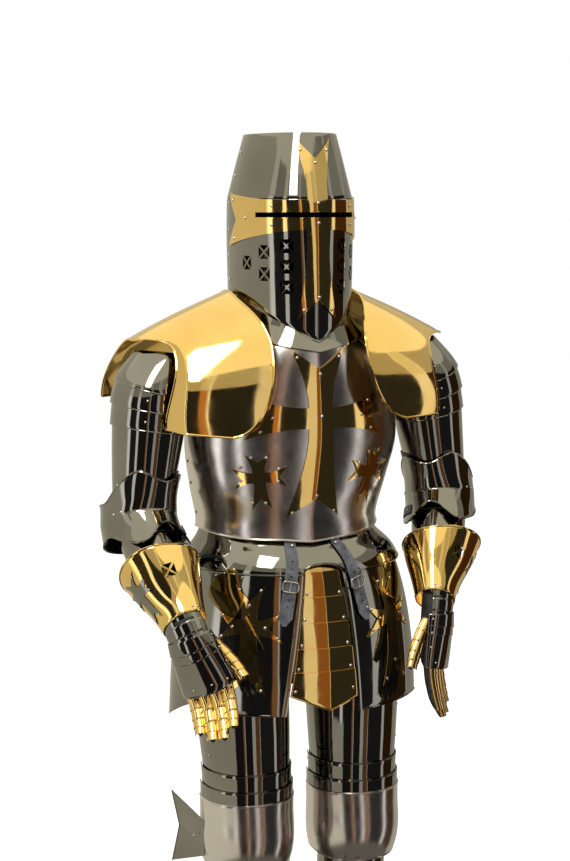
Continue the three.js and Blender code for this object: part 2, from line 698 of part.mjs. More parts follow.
function palmRings(shrink) {
  const heights = [22 + 4 * Math.sign(shrink), -30, -80, -108 + 4 * shrink];
  return heights.map((z) =>
    Array.from({ length: 12 }, (_, i) => {
      const row = sectionAt(PALM, z);
      const angle = -(i / 12) * 2 * Math.PI;
      const depth = (Math.cos(angle) > 0 ? row.front : row.back) - shrink;
      return new THREE.Vector3((row.wide - shrink) * Math.sin(angle), -depth * Math.cos(angle), z);
    }),
  );
}

function handSolid(side, bend) {
  const parts = [loft(palmRings(0))];
  const down = new THREE.Vector3(0, 0, -1);
  for (const finger of FINGERS) {
    const base = new THREE.Vector3(side * -finger.x, 0, KNUCKLES);
    parts.push(loft(fingerRings(base, down, finger, bend)));
  }
  const thumb = new THREE.Vector3(-side * 0.42, 0.38, -0.82).normalize();
  const root = new THREE.Vector3(-side * THUMB.across, THUMB.y, THUMB.z);
  parts.push(loft(fingerRings(root, thumb, THUMB, bend)));
  return joined(parts);
}

const FRAMES = {};
function addArm(name, side) {
  const shoulder = SHOULDER.clone().setX(side * SHOULDER.x);
  const [elbow, wrist, hand] = [ELBOWS[name], WRISTS[name], HANDS[name]];
  const upperWay = shoulder.clone().sub(elbow).normalize();
  const foreWay = elbow.clone().sub(wrist).normalize();
  const crook = upperWay.clone().sub(foreWay).normalize();
  const upper = frameAt(elbow, upperWay, crook);
  const elbowFrame = frameAt(elbow, upperWay.clone().add(foreWay), crook);
  const fore = frameAt(elbow, foreWay, crook);
  const cuffFrame = frameAt(wrist, foreWay, hand.back);
  const handFrame = frameAt(wrist, hand.reach.clone().negate(), hand.back);
  const closed = { closed: true };
  FRAMES[name] = { upper, fore, hand: handFrame };

  for (const lame of SHOULDER_LAMES) {
    const band = wrapped(UPPER_ARM, { top: everywhere(lame.top), bottom: everywhere(lame.bottom) });
    const lift = lame.lift * (PLATE + GAP + SLACK);
    const ring = sheet(onSide(side, band), 16, lame.rows, { closed: true, lift });
    add(`shoulder_lame_${lame.name}_${name}`, ring, STEEL, upper);
  }
  const tube = wrapped(UPPER_ARM, { top: everywhere(182), bottom: everywhere(34) });
  add("rerebrace_" + name, sheet(tube, 16, 2, closed), STEEL, upper);

  const lobes = (side_) => 12 * Math.cos(degrees(side_ * 2)) * (1 - ease(side_, 60, 130));
  const couterTop = (s) => 50 + lobes(s) - 8 * Math.exp(-((s / 14) ** 2));
  const couterBottom = (s) => -50 - lobes(s) + 8 * Math.exp(-((s / 14) ** 2));
  const cup = wrapped(COUTER, { top: couterTop, bottom: couterBottom });
  add("couter_" + name, sheet(cup, 20, 4, closed), STEEL, elbowFrame);

  const ear = (s) => 40 * Math.exp(-(((s - 90) / 20) ** 2));
  const bracer = wrapped(FOREARM, { top: (s) => -26 + ear(s), bottom: everywhere(-158) });
  add("vambrace_" + name, sheet(bracer, 16, 1, closed), STEEL, fore);

  const cuffTop = (s) => 128 + 14 * (1 - ease(s, 0, 120));
  const cone = sheet(wrapped(CUFF, { top: cuffTop, bottom: everywhere(14) }), 18, 2, closed);
  const vents = breath(24, 3.4).map((outline) => radialPrism(outline, 55, -side * 40, 92));
  add("gauntlet_cuff_" + name, cut(cone, vents), BRASS, cuffFrame);

  const back = { from: -92, to: 92, top: everywhere(-11), bottom: everywhere(-110) };
  add("hand_plate_" + name, sheet(wrapped(HAND_PLATE, back), 8, 3), STEEL, handFrame);
  const glove = cut(handSolid(side, CURL[name]), [loft(palmRings(GLOVE))]);
  add("glove_" + name, glove, BLACK_GLOVE, handFrame);
}

// Legs: cuisse, a lame, a domed poleyn with a fan at its outer side, greave and shoe.
const THIGH = [
  { z: 960, wide: 96, front: 104, back: 96, x: 113, y: -34 },
  { z: 800, wide: 91, front: 102, back: 94, x: 113, y: -44 },
  { z: 700, wide: 86, front: 92, back: 88, x: 110, y: -56 },
  { z: 630, wide: 82, front: 86, back: 82, x: 108, y: -62 },
  { z: 550, wide: 82, front: 86, back: 80, x: 108, y: -62 },
];
const KNEECAP = [
  { z: 606, wide: 90, front: 94, back: 88, x: 108, y: -62 },
  { z: 560, wide: 89, front: 98, back: 88, x: 108, y: -62 },
  { z: 515, wide: 90, front: 102, back: 88, x: 108, y: -62 },
  { z: 480, wide: 87, front: 95, back: 86, x: 108, y: -62 },
  { z: 455, wide: 80, front: 82, back: 80, x: 108, y: -62 },
];
const SHIN = [
  { z: 500, wide: 64, front: 60, back: 60, x: 108, y: -62 },
  { z: 430, wide: 66, front: 64, back: 66, x: 108, y: -60 },
  { z: 340, wide: 63, front: 56, back: 76, x: 107, y: -54 },
  { z: 220, wide: 51, front: 50, back: 54, x: 106, y: -50 },
  { z: 120, wide: 47, front: 50, back: 46, x: 106, y: -48 },
  { z: 70, wide: 54, front: 62, back: 54, x: 106, y: -48 },
];
const SOLE_X = 106;
const SHOE = [
  { y: 18, wide: 26, high: 48 },
  { y: 0, wide: 37, high: 60 },
  { y: -48, wide: 43, high: 104 },
  { y: -102, wide: 49, high: 82 },
  { y: -172, wide: 50, high: 58 },
  { y: -232, wide: 36, high: 42 },
  { y: -280, wide: 8, high: 24 },
];

function shoeRings(side, shrink) {
  return SHOE.map(({ y, wide, high }, i) => {
    const end = i === 0 ? -shrink : i === SHOE.length - 1 ? shrink : 0;
    const half = wide - shrink;
    const ring = [
      new THREE.Vector3(side * SOLE_X + half, y + end, shrink),
      new THREE.Vector3(side * SOLE_X - half, y + end, shrink),
    ];
    for (const t of [0.15, 0.38, 0.5, 0.62, 0.85]) {
      const angle = Math.PI * t;
      const z = shrink + (high - 2 * shrink) * (0.35 + 0.65 * Math.sin(angle));
      ring.push(new THREE.Vector3(side * SOLE_X - half * Math.cos(angle), y + end, z));
    }
    return ring.reverse();
  });
}

function addLeg(name, side) {
  const leg = (rows, patch) => onSide(side, wrapped(rows, patch));
  const closed = { closed: true };
  const backRise = (low, rise) => (s) => low + rise * ease(s, 95, 150);
  const thigh = leg(THIGH, { top: everywhere(885), bottom: backRise(640, 24) });
  add("cuisse_" + name, sheet(thigh, 16, 2, closed), STEEL);
  const band = leg(THIGH, { from: -112, to: 112, top: everywhere(650), bottom: everywhere(562) });
  add("knee_lame_" + name, sheet(band, 12, 1, { lift: PLATE + GAP + SLACK }), STEEL);

  const capTop = (s) => 596 - 26 * (1 - ease(s, 0, 70));
  const capBottom = (s) => 458 + 10 * ease(s, 40, 104);
  const cap = leg(KNEECAP, { from: -104, to: 104, top: capTop, bottom: capBottom });
  const fan = onSide(side, (u, v) => {
    const spread = mix(-1, 1, v);
    const scallop = 1 + 0.25 * Math.abs(spread);
    const y = mix(-76, 12 * scallop, u);
    const x = 108 + mix(89, 112 + 14 * Math.abs(spread), u);
    const half = mix(34, 70, u);
    return new THREE.Vector3(x, y, 515 + half * spread);
  });
  add("poleyn_" + name, joined([sheet(cap, 14, 4), sheet(fan, 3, 4)]), SATIN_STEEL);

  const ear = (s) => 56 * Math.exp(-(((s - 90) / 22) ** 2));
  const greaveTop = (s) => 478 - 66 * ease(s, 70, 140) + ear(s);
  const instep = (s) => 64 + 40 * (1 - ease(s, 20, 75));
  const shin = leg(SHIN, { top: greaveTop, bottom: instep });
  add("greave_" + name, sheet(shin, 20, 3, closed), STEEL);

  const ankle = new THREE.CylinderGeometry(33, 33, 120, 16).rotateX(Math.PI / 2);
  ankle.translate(side * SOLE_X, -46, 140);
  const shoe = cut(loft(shoeRings(side, 0)), [loft(shoeRings(side, PLATE)), ankle]);
  add("sabaton_" + name, shoe, STEEL);
}

addHelm();
addGorget();
addTorso();
addSkirt();
addStraps();
for (const [name, side] of [["right", RIGHT], ["left", LEFT]]) {
  const shell = sheet(onSide(side, pauldron(WINGS[name])), 8, 11);
  add("pauldron_" + name, shell, BRASS);
  addArm(name, side);
  addLeg(name, side);
}

// Rivets and pivots. Each stem stands on one plate and ends just short of the plate over it.
// Columns: the plate it stands on, the plate it reaches, a point on its line and its direction.
const STEM = 3; // radius
const REST = 0.3; // air between a stem and the plate it reaches
const bearing = (turn) => [Math.sin(degrees(turn)), -Math.cos(degrees(turn)), 0];
const STEMS = [
  { from: "gorget", to: "helm_lower_front", at: [0, 0, 1541], way: bearing(90) },
  { from: "gorget", to: "helm_lower_front", at: [0, 0, 1541], way: bearing(-90) },
  { from: "gorget", to: "helm_lower_back", at: [0, 0, 1541], way: bearing(180) },
  { from: "helm_lower_back", to: "helm_lower_front", at: [0, 0, 1600], way: bearing(99) },
  { from: "helm_upper_back", to: "helm_upper_front", at: [0, 0, 1760], way: bearing(99) },
  { from: "helm_upper_front", to: "helm_cross", at: [0, 0, 1770], way: bearing(7) },
  { from: "helm_lower_front", to: "helm_cross", at: [0, 0, 1530], way: bearing(7) },
  { from: "breastplate", to: "gorget", at: [0, 0, 1447], way: bearing(12) },
  { from: "backplate", to: "gorget", at: [0, 0, 1479], way: bearing(176) },
  { from: "backplate", to: "breastplate", at: [0, 0, 1180], way: bearing(87.5) },
  { from: "breastplate", to: "breast_cross", at: [0, 0, 1400], way: bearing(5) },
  { from: "breastplate", to: "breast_star_left", at: [0, 0, 1210], way: bearing(34) },
  { from: "breastplate", to: "breast_star_right", at: [0, 0, 1210], way: bearing(-32) },
  { from: "fauld_front", to: "breastplate", at: [0, 0, 1104], way: bearing(20) },
  { from: "fauld_front", to: "breastplate", at: [0, 0, 1106], way: bearing(-78) },
  { from: "fauld_back", to: "backplate", at: [0, 0, 1106], way: bearing(176) },
  { from: "fauld_lame_1", to: "fauld_front", at: [0, 0, 1055], way: bearing(1.5) },
  { from: "culet", to: "fauld_back", at: [0, 0, 1036], way: bearing(176) },
];
for (const [name, side] of [["right", RIGHT], ["left", LEFT]]) {
  const lame = (which) => `shoulder_lame_${which}_${name}`;
  STEMS.push(
    { from: "tasset_front_" + name, to: "fauld_front", at: [2, 0, 1036], way: bearing(side * 40) },
    {
      from: "tasset_front_" + name,
      to: "tasset_cross_" + name,
      at: [4, 0, 936],
      way: bearing(side * 36),
    },
    {
      from: "tasset_side_" + name,
      to: "tasset_front_" + name,
      at: [4, 0, 960],
      way: bearing(side * 63),
    },
    { from: "culet", to: "tasset_side_" + name, at: [4, 0, 900], way: bearing(side * 116.5) },
    { from: "fauld_front", to: "strap_" + name, at: [0, 0, 1099], way: bearing(side * 17.6) },
    { from: "breastplate", to: "pauldron_" + name, at: [side * 128, 0, 1418], way: [0, -1, 0] },
    { from: lame("upper"), to: "pauldron_" + name, at: [side * 262, -74, 1380], way: [0, 0, 1] },
    { from: "cuisse_" + name, to: "tasset_side_" + name, at: [side * 120, -44, 862], way: [side, 0, 0] },
    { from: "knee_lame_" + name, to: "poleyn_" + name, at: [side * 108, -62, 580], way: [side, 0, 0] },
    { from: "cuisse_" + name, to: "knee_lame_" + name, at: [side * 108, -62, 646], way: [side, 0, 0] },
    { from: "sabaton_" + name, to: "greave_" + name, at: [side * SOLE_X, -46, 70], way: [side, 0, 0] },
  );
  for (const way of [-1, 1]) {
    const local = (frame, z) => ({ at: [0, 0, z], way: [way, 0, 0], frame });
    const at = { from: "greave_" + name, to: "poleyn_" + name, way: [way, 0, 0] };
    STEMS.push({ ...at, at: [side * 108, -62, 512] });
    const arm = FRAMES[name];
    STEMS.push(
      { from: "rerebrace_" + name, to: "couter_" + name, ...local(arm.upper, 44) },
      { from: "vambrace_" + name, to: "couter_" + name, ...local(arm.fore, 0) },
      { from: "vambrace_" + name, to: "gauntlet_cuff_" + name, ...local(arm.fore, -146) },
      { from: "rerebrace_" + name, to: "shoulder_lame_lower_" + name, ...local(arm.upper, 176) },
    );
  }
  const arm = FRAMES[name];
  const dorsal = { way: [0, -1, 0], frame: arm.hand };
  STEMS.push(
    { from: "glove_" + name, to: "hand_plate_" + name, at: [0, 0, -70], ...dorsal },
    {
      from: "glove_" + name,
      to: "gauntlet_cuff_" + name,
      at: [0, 0, 17],
      way: [side, 0, 0],
      frame: arm.hand,
    },
    { from: lame("lower"), to: lame("middle"), at: [0, 0, 213], way: [0, -1, 0], frame: arm.upper },
    { from: lame("middle"), to: lame("upper"), at: [0, 0, 251], way: [0, -1, 0], frame: arm.upper },
  );
}
for (const { from, to, at, way, frame } of STEMS) {
  const start = new THREE.Vector3(...at);
  const direction = new THREE.Vector3(...way);
  if (frame) {
    start.applyMatrix4(frame);
    direction.transformDirection(frame);
  }
  const line = new THREE.Raycaster(start, direction);
  const reach = (name) => {
    const mesh = suit.getObjectByName(name);
    const probe = new THREE.Mesh(mesh.geometry, new THREE.MeshBasicMaterial({ side: THREE.DoubleSide }));
    return line.intersectObject(probe).map((hit) => hit.distance);
  };
  const own = reach(from);
  const theirs = reach(to);
  if (!own.length || !theirs.length) throw new Error(`no stem from ${from} to ${to}`);
  const foot = Math.max(...own.filter((d) => d < Math.min(...theirs.filter((t) => t > own[0]))));
  const tip = Math.min(...theirs.filter((t) => t > foot)) - REST;
  if (tip <= foot) continue;
  const stem = new THREE.CylinderGeometry(0, STEM, tip - foot + PLATE / 2, 3);
  const middle = start.clone().addScaledVector(direction, (tip + foot - PLATE / 2) / 2);
  stem.applyQuaternion(new THREE.Quaternion().setFromUnitVectors(new THREE.Vector3(0, 1, 0), direction));
  const mesh = suit.getObjectByName(from);
  mesh.geometry = joined([mesh.geometry, stem.translate(...middle.toArray())]);
}

// The origin is put under the middle of the whole, on the floor.
const box = new THREE.Box3().setFromObject(suit);
const middle = box.getCenter(new THREE.Vector3());
for (const mesh of suit.children) mesh.geometry.translate(-middle.x, -middle.y, -box.min.z);

export default suit;
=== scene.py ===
# %% [markdown]
# # A suit of plate armour, lesson by lesson
# The suit is sheet metal: every piece is a thin plate bent round a part of the body. The CAD
# frame already holds the sizes and the joints. Here each plate is made again with a smooth,
# polished surface and its rivets, rolled edges and straps, and rides on its CAD body.
# %% Load the frame and measure it
import json
import math

import bpy
import numpy as np
from mathutils import Matrix, Vector


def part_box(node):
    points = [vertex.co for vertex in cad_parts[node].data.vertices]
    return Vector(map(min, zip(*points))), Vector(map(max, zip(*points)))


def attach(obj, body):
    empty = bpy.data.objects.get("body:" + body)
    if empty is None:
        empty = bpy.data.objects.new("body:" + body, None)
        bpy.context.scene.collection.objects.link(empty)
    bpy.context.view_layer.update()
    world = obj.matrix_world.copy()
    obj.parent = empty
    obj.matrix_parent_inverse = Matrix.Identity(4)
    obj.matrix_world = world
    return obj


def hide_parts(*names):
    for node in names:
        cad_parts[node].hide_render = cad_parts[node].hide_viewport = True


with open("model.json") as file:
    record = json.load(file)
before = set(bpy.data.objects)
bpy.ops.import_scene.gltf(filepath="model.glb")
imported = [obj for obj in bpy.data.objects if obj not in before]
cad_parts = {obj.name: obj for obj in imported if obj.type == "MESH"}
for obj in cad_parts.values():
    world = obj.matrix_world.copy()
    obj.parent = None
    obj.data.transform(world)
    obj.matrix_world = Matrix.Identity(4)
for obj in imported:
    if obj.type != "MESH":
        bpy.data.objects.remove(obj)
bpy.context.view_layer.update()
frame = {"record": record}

# %% [markdown]
# ## Sizes
# The tables below are in millimetres, measured from the middle of the helm, with the front at
# -Y. The helm's flat crown says where that middle lies in the frame.
# %% The suit's own millimetres
MM = 0.001
PLATE = 1.5  # thickness of the metal
LEATHER = 2.5
GAP = 0.6  # air between plates that lie on each other
SLACK = 1.2  # more air where the plates curve two ways
CROWN_OFFSET = 2.5  # the crown's middle lies this far in front of the helm's axis
crown_low, crown_high = (np.array(corner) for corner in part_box("helm_crown"))
ORIGIN = (crown_low + crown_high) / 2 * [1, 1, 0] + [0, CROWN_OFFSET * MM, 0]
print("middle of the suit at", ORIGIN.round(4))


def in_metres(points):
    return np.asarray(points, float) * MM + ORIGIN


# %% [markdown]
# ## Plates from tables
# A plate such as a helm or a greave is a tube whose width and depth change with height. A table
# gives them at a few heights and a smooth curve runs between the rows. This could be sculpted,
# but then left and right would never match, and the mirror polish shows every bump.
# %% Read a smooth section from a table
def table(columns, *rows):
    return {name: np.array(column, float) for name, column in zip(columns.split(), zip(*rows))}


def section(rows, z):
    z = np.asarray(z, float)
    level = rows["z"]
    last = len(level) - 1
    i = np.clip(np.searchsorted(-level, -z) - 1, 0, last - 1)
    before, after = np.maximum(i - 1, 0), np.minimum(i + 2, last)
    span = level[i + 1] - level[i]
    t = (z - level[i]) / span
    found = {}
    for name, column in rows.items():
        a, b = column[i], column[i + 1]
        slope_a = (b - column[before]) / (level[i + 1] - level[before]) * span
        slope_b = (column[after] - a) / (level[after] - level[i]) * span
        rise = (t**3 - 2 * t**2 + t) * slope_a + (t**3 - t**2) * slope_b
        found[name] = (2 * t**3 - 3 * t**2 + 1) * a + (3 * t**2 - 2 * t**3) * b + rise
    return found


# %% Walk round an upright plate
KEEL_SPREAD = 0.55  # radians over which a front ridge dies away


def ease(x, low, high):
    t = np.clip((np.asarray(x, float) - low) / (high - low), 0, 1)
    return t * t * (3 - 2 * t)


def bell(x, middle, width):
    return np.exp(-(((x - middle) / width) ** 2))


def mix(a, b, t):
    return a + (b - a) * t


def curve(base, *steps, bells=()):
    """An edge's height at each angle from the front, which can rise by eases and bells."""

    def height(side):
        risen = sum(rise * ease(side, low, high) for rise, low, high in steps)
        return base + risen + sum(rise * bell(side, *place) for rise, *place in bells)

    return height


def around(rows, turn, z):
    """Turn is in degrees from the front, 0, towards the wearer's left, 90."""
    turn, z = np.broadcast_arrays(np.asarray(turn, float), np.asarray(z, float))
    angle = np.radians(turn)
    row = section(rows, z)
    depth = np.where(np.cos(angle) > 0, row["front"], row["back"])
    keel = row.get("keel", 0) * np.exp(-np.abs(angle) / KEEL_SPREAD)
    x = row.get("x", 0) + row["wide"] * np.sin(angle)
    y = row.get("y", 0) - depth * np.cos(angle) - keel
    return np.stack([x, y, z], -1)


def wrapped(rows, start=-180, end=180, top=0, bottom=0):
    """The patch between two angles and two edges. An edge is a height or a curve of the angle."""

    def surface(u, v):
        turn = mix(start, end, u)
        side = np.abs(np.where(turn > 180, turn - 360, np.where(turn < -180, turn + 360, turn)))
        high = top(side) if callable(top) else top
        low = bottom(side) if callable(bottom) else bottom
        return around(rows, turn, mix(low, high, v))

    return surface


def mirrored(surface):
    """The same plate for the right side of the body."""
    return lambda u, v: surface(1 - u, v) * [-1, 1, 1]


def placed(surface, axes):
    """A plate made in a limb's own axes, put where the limb is."""
    return surface if axes is None else lambda u, v: surface(u, v) @ axes[0].T + axes[1]


def outwards(surface, u, v):
    step = 0.002
    along_u = surface(u + step, v) - surface(u - step, v)
    along_v = surface(u, np.minimum(v + step, 1)) - surface(u, np.maximum(v - step, 0))
    out = np.cross(along_u, along_v)
    return out / np.linalg.norm(out, axis=-1, keepdims=True)


# %% [markdown]
# ## Grid, bend, thicken
# A flat grid is the sheet as it comes from the mill. Its points are moved onto the curved
# surface, seams are merged, and Solidify gives the metal its thickness. A narrow bevel breaks
# the cut edges so that they catch the light as filed edges do.
# %% Bend a grid into a plate
SMOOTH_ANGLE = math.radians(38)


def deselect():
    if bpy.context.object and bpy.context.object.mode != "OBJECT":
        bpy.ops.object.mode_set(mode="OBJECT")
    bpy.ops.object.select_all(action="DESELECT")


def pick(*pieces):
    deselect()
    for piece in pieces:
        piece.select_set(True)
    bpy.context.view_layer.objects.active = pieces[0]


def coordinates(piece):
    found = np.empty(len(piece.data.vertices) * 3)
    piece.data.vertices.foreach_get("co", found)
    return found.reshape(-1, 3)


def set_coordinates(piece, points):
    piece.data.vertices.foreach_set("co", np.ascontiguousarray(points, float).ravel())
    piece.data.update()


def tidy_edit(piece, *steps):
    """Runs edit-mode steps on the whole mesh."""
    pick(piece)
    bpy.ops.object.mode_set(mode="EDIT")
    bpy.ops.mesh.select_all(action="SELECT")
    for step, options in steps:
        step(**options)
    bpy.ops.object.mode_set(mode="OBJECT")


def modified(piece, kind, **settings):
    pick(piece)
    modifier = piece.modifiers.new(kind.title(), kind)
    for name, value in settings.items():
        setattr(modifier, name, value)
    bpy.ops.object.modifier_apply(modifier=modifier.name)


MERGE = (bpy.ops.mesh.remove_doubles, {"threshold": 0.01 * MM})
FILL = (bpy.ops.mesh.fill_holes, {"sides": 0})
FACE_OUT = (bpy.ops.mesh.normals_make_consistent, {"inside": False})


def bent_grid(surface, across, along, lift=0.0, seam=False):
    deselect()
    bpy.ops.mesh.primitive_grid_add(x_subdivisions=across, y_subdivisions=along, size=1)
    piece = bpy.context.object
    flat = coordinates(piece)
    u, v = flat[:, 0] + 0.5, flat[:, 1] + 0.5
    set_coordinates(piece, in_metres(surface(u, v) + (lift * outwards(surface, u, v) if lift else 0)))
    if seam:
        tidy_edit(piece, MERGE)
    return piece


EDGE = 0.3  # width of the filed edge
FILED = {"limit_method": "ANGLE", "angle_limit": math.radians(60)}


def thickened(piece, thick, edge=EDGE):
    modified(piece, "SOLIDIFY", thickness=thick * MM, offset=-1, use_even_offset=True)
    if edge:
        modified(piece, "BEVEL", width=edge * MM, segments=2, **FILED)
    return piece


# %% [markdown]
# ## Rolled edges, rivets and cut-outs
# An armourer turns the free edge of a plate over a wire, so a thin tube follows it. A rivet is
# a flattened dome. Cut-outs are punched by a blank that goes through the plate. Each is made
# once as a small tool here and used all over the suit.
# %% Roll a tube along an edge
def read_along(rows, at):
    """Values between the rows of an array, at fractions of a step."""
    return np.stack([np.interp(at, range(len(rows)), column) for column in rows.T], -1)


def tube(points, radius, ring=False, sides=8, taper=None):
    """A tube in millimetres along points. ring joins the ends; open ends are capped."""
    points = np.asarray(points, float)
    if ring:
        points = np.vstack([points[-1:], points, points[:1]])
    steps = np.gradient(points, axis=0)
    if ring:
        points, steps = points[1:-1], steps[1:-1]
        points, steps = np.vstack([points, points[:1]]), np.vstack([steps, steps[:1]])
    tangent = steps / np.linalg.norm(steps, axis=1, keepdims=True)
    reference = np.eye(3)[np.abs(tangent).max(0).argmin()]
    side = np.cross(reference, tangent)
    side /= np.linalg.norm(side, axis=1, keepdims=True)
    other = np.cross(tangent, side)
    width = np.full(len(points), radius) if taper is None else radius * np.asarray(taper, float)

    def surface(u, v):
        at = np.clip(v, 0, 1) * (len(points) - 1)
        angle = 2 * np.pi * u[:, None]
        reach = np.interp(at, range(len(points)), width)[:, None]
        across = np.cos(angle) * read_along(side, at) + np.sin(angle) * read_along(other, at)
        return read_along(points, at) + reach * across

    piece = bent_grid(surface, sides, len(points) - 1)
    tidy_edit(piece, MERGE, FILL, FACE_OUT)
    return piece


def edge_line(surface, edge, count=60, lift=0.0, ring=False):
    t = np.linspace(0, 1, count, endpoint=not ring)
    still = np.full(count, float(edge in ("top", "end")))
    u, v = (t, still) if edge in ("top", "bottom") else (still, t)
    return surface(u, v) + lift * outwards(surface, u, v)


def spot(surface, u, v, lift=0.0):
    u, v = np.array([u], float), np.array([v], float)
    out = outwards(surface, u, v)[0]
    return surface(u, v)[0] + lift * out, out


def spot_round(rows, turn, z, lift=0.0, axes=None):
    """The place on a tabled plate at an angle and a height, with its outward direction."""
    surface = placed(lambda u, v: around(rows, turn + u, z + v), axes)
    zero, step = np.zeros(1), np.full(1, 0.1)
    along_u = surface(step, zero) - surface(-step, zero)
    out = np.cross(along_u, surface(zero, step) - surface(zero, -step))[0]
    out /= np.linalg.norm(out)
    return surface(zero, zero)[0] + lift * out, out


# %% Head a rivet
RIVET = 3.1  # radius of a rivet's head
RIVET_RISE = 0.55  # its height as a share of the radius


def aligned(point, out):
    """A matrix that stands a small piece on a plate."""
    turn = Vector(out).to_track_quat("Z", "Y").to_matrix().to_4x4()
    return Matrix.Translation(Vector(in_metres(point))) @ turn


def rivets(spots, radius=RIVET):
    deselect()
    bpy.ops.mesh.primitive_uv_sphere_add(segments=10, ring_count=6, radius=radius * MM)
    head = bpy.context.object
    half = {"plane_co": (0, 0, 0), "plane_no": (0, 0, 1), "clear_inner": True, "use_fill": True}
    tidy_edit(head, (bpy.ops.mesh.bisect, half))
    tidy_edit(head, (bpy.ops.transform.resize, {"value": (1, 1, RIVET_RISE)}))
    copies = []
    for point, out in spots:
        copy = bpy.data.objects.new("rivet", head.data.copy())
        bpy.context.collection.objects.link(copy)
        copy.data.transform(aligned(point, out))
        copies.append(copy)
    bpy.data.objects.remove(head)
    return joined(copies)


def joined(pieces):
    pick(*pieces)
    if len(pieces) > 1:
        bpy.ops.object.join()
    return bpy.context.object


# %% Cut a shape from flat sheet
def blank(outline, thick=None, axes=None):
    """A flat shape from its outline in millimetres. axes stands it somewhere as a punch."""
    deselect()
    bpy.ops.mesh.primitive_circle_add(vertices=len(outline), fill_type="NGON", radius=1)
    piece = bpy.context.object
    points = np.zeros((len(outline), 3))
    points[:, :2] = np.asarray(outline) * MM
    set_coordinates(piece, points)
    tidy_edit(piece, FACE_OUT)
    if piece.data.polygons[0].normal.z < 0:
        tidy_edit(piece, (bpy.ops.mesh.flip_normals, {}))
    if thick:
        modified(piece, "SOLIDIFY", thickness=thick * MM, offset=0)
    if axes is not None:
        piece.data.transform(axes)
    return piece


def punched(piece, tools):
    tool = joined(tools)
    modified(piece, "BOOLEAN", object=tool, operation="DIFFERENCE", solver="EXACT")
    bpy.data.objects.remove(tool)
    return piece


# %% [markdown]
# ## Finishes
# Three metals and two leathers. Polished plate shows its shape only by what it reflects, and
# hand-raised metal is never quite even, so a slow, faint noise bends the reflections and a
# finer one carries small scratches. Leather gets grain by bump and a little wear in its colour.
# %% Mix the metals
class Finish:
    """A material with short ways to add shader nodes and join them."""

    def __init__(self, name):
        self.material = bpy.data.materials.new(name)
        self.material.use_nodes = True
        self.tree = self.material.node_tree
        self.place = self.add("TexCoord", "Object")

    def feed(self, socket, value):
        if isinstance(value, bpy.types.NodeSocket):
            self.tree.links.new(value, socket)
        else:
            socket.default_value = value

    def shader(self, **inputs):
        for name, value in inputs.items():
            self.feed(self.tree.nodes["Principled BSDF"].inputs[name.replace("_", " ")], value)

    def add(self, kind, output, **inputs):
        node = self.tree.nodes.new("ShaderNode" + kind)
        for name, value in inputs.items():
            self.feed(node.inputs[name.replace("_", " ")], value)
        return node.outputs[output]

    def noise(self, scale, detail=2.0):
        return self.add("TexNoise", "Fac", Vector=self.place, Scale=scale, Detail=detail)

    def ranged(self, value, low, high):
        ends = {"From Min": 0.3, "From Max": 0.7, "To Min": low, "To Max": high}
        return self.add("MapRange", "Result", Value=value, **ends)

    def tinted(self, value, dark, light):
        colour = self.add("ValToRGB", "Color", Fac=value)
        for end, place, tint in zip(colour.node.color_ramp.elements, (0.35, 0.65), (dark, light)):
            end.position, end.color = place, (*tint, 1)
        return colour

    def bumped(self, height, strength, distance, **below):
        return self.add("Bump", "Normal", Strength=strength, Distance=distance, Height=height, **below)


def metal(name, dark, light, shine, wobble, scratch=0.02):
    mixed = Finish(name)
    slow = mixed.bumped(mixed.noise(11.0, 1.0), wobble, 0.004)
    mixed.shader(
        Metallic=1.0,
        Base_Color=mixed.tinted(mixed.noise(7.0), dark, light),
        Roughness=mixed.ranged(mixed.noise(45.0, 5.0), *shine),
        Normal=mixed.bumped(mixed.noise(700.0), scratch, 0.0002, Normal=slow),
    )
    return mixed.material


# %% Mix the leathers
def leather(name, dark, light, grain, rough):
    mixed = Finish(name)
    wear = mixed.noise(60.0, 6.0)
    cells = mixed.add("TexVoronoi", "Distance", Vector=mixed.place, Scale=grain)
    mixed.shader(
        Base_Color=mixed.tinted(wear, dark, light),
        Roughness=mixed.ranged(wear, *rough),
        Normal=mixed.bumped(cells, 0.35, 0.0006),
    )
    return mixed.material


FINISHES = {
    "blued_steel": metal("polished gunmetal", (0.26, 0.25, 0.215), (0.3, 0.29, 0.26), (0.03, 0.08), 0.2),
    "satin_steel": metal("satin steel", (0.72, 0.66, 0.62), (0.78, 0.73, 0.69), (0.17, 0.24), 0.3, 0.05),
    "brass": metal("polished brass", (0.93, 0.62, 0.2), (0.97, 0.69, 0.26), (0.04, 0.1), 0.22),
    "strap_leather": leather(
        "grey strap leather", (0.035, 0.037, 0.043), (0.085, 0.087, 0.095), 900.0, (0.45, 0.62)),
    "glove_leather": leather(
        "black glove leather", (0.006, 0.006, 0.007), (0.02, 0.02, 0.022), 650.0, (0.55, 0.8)),
}
print("finishes:", ", ".join(material.name for material in FINISHES.values()))

# %% Finish a piece and hang it on its body
BODIES = {node: body for body, nodes in frame["record"]["behaviour"]["bodies"].items() for node in nodes}
made = []


def finished(piece, name, slot, body, *replaced):
    pick(piece)
    bpy.ops.object.shade_smooth_by_angle(angle=SMOOTH_ANGLE)
    piece.name = piece.data.name = name
    piece.data.materials.clear()
    piece.data.materials.append(FINISHES[slot])
    for polygon in piece.data.polygons:
        polygon.material_index = 0
    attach(piece, body)
    if replaced:
        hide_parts(*replaced)
    made.append(piece)
    return piece


def stands_for(piece, node, slot="blued_steel", kind="_sheet"):
    """Finishes a piece that takes the place of one CAD node."""
    return finished(piece, node + kind, slot, BODIES[node], node)


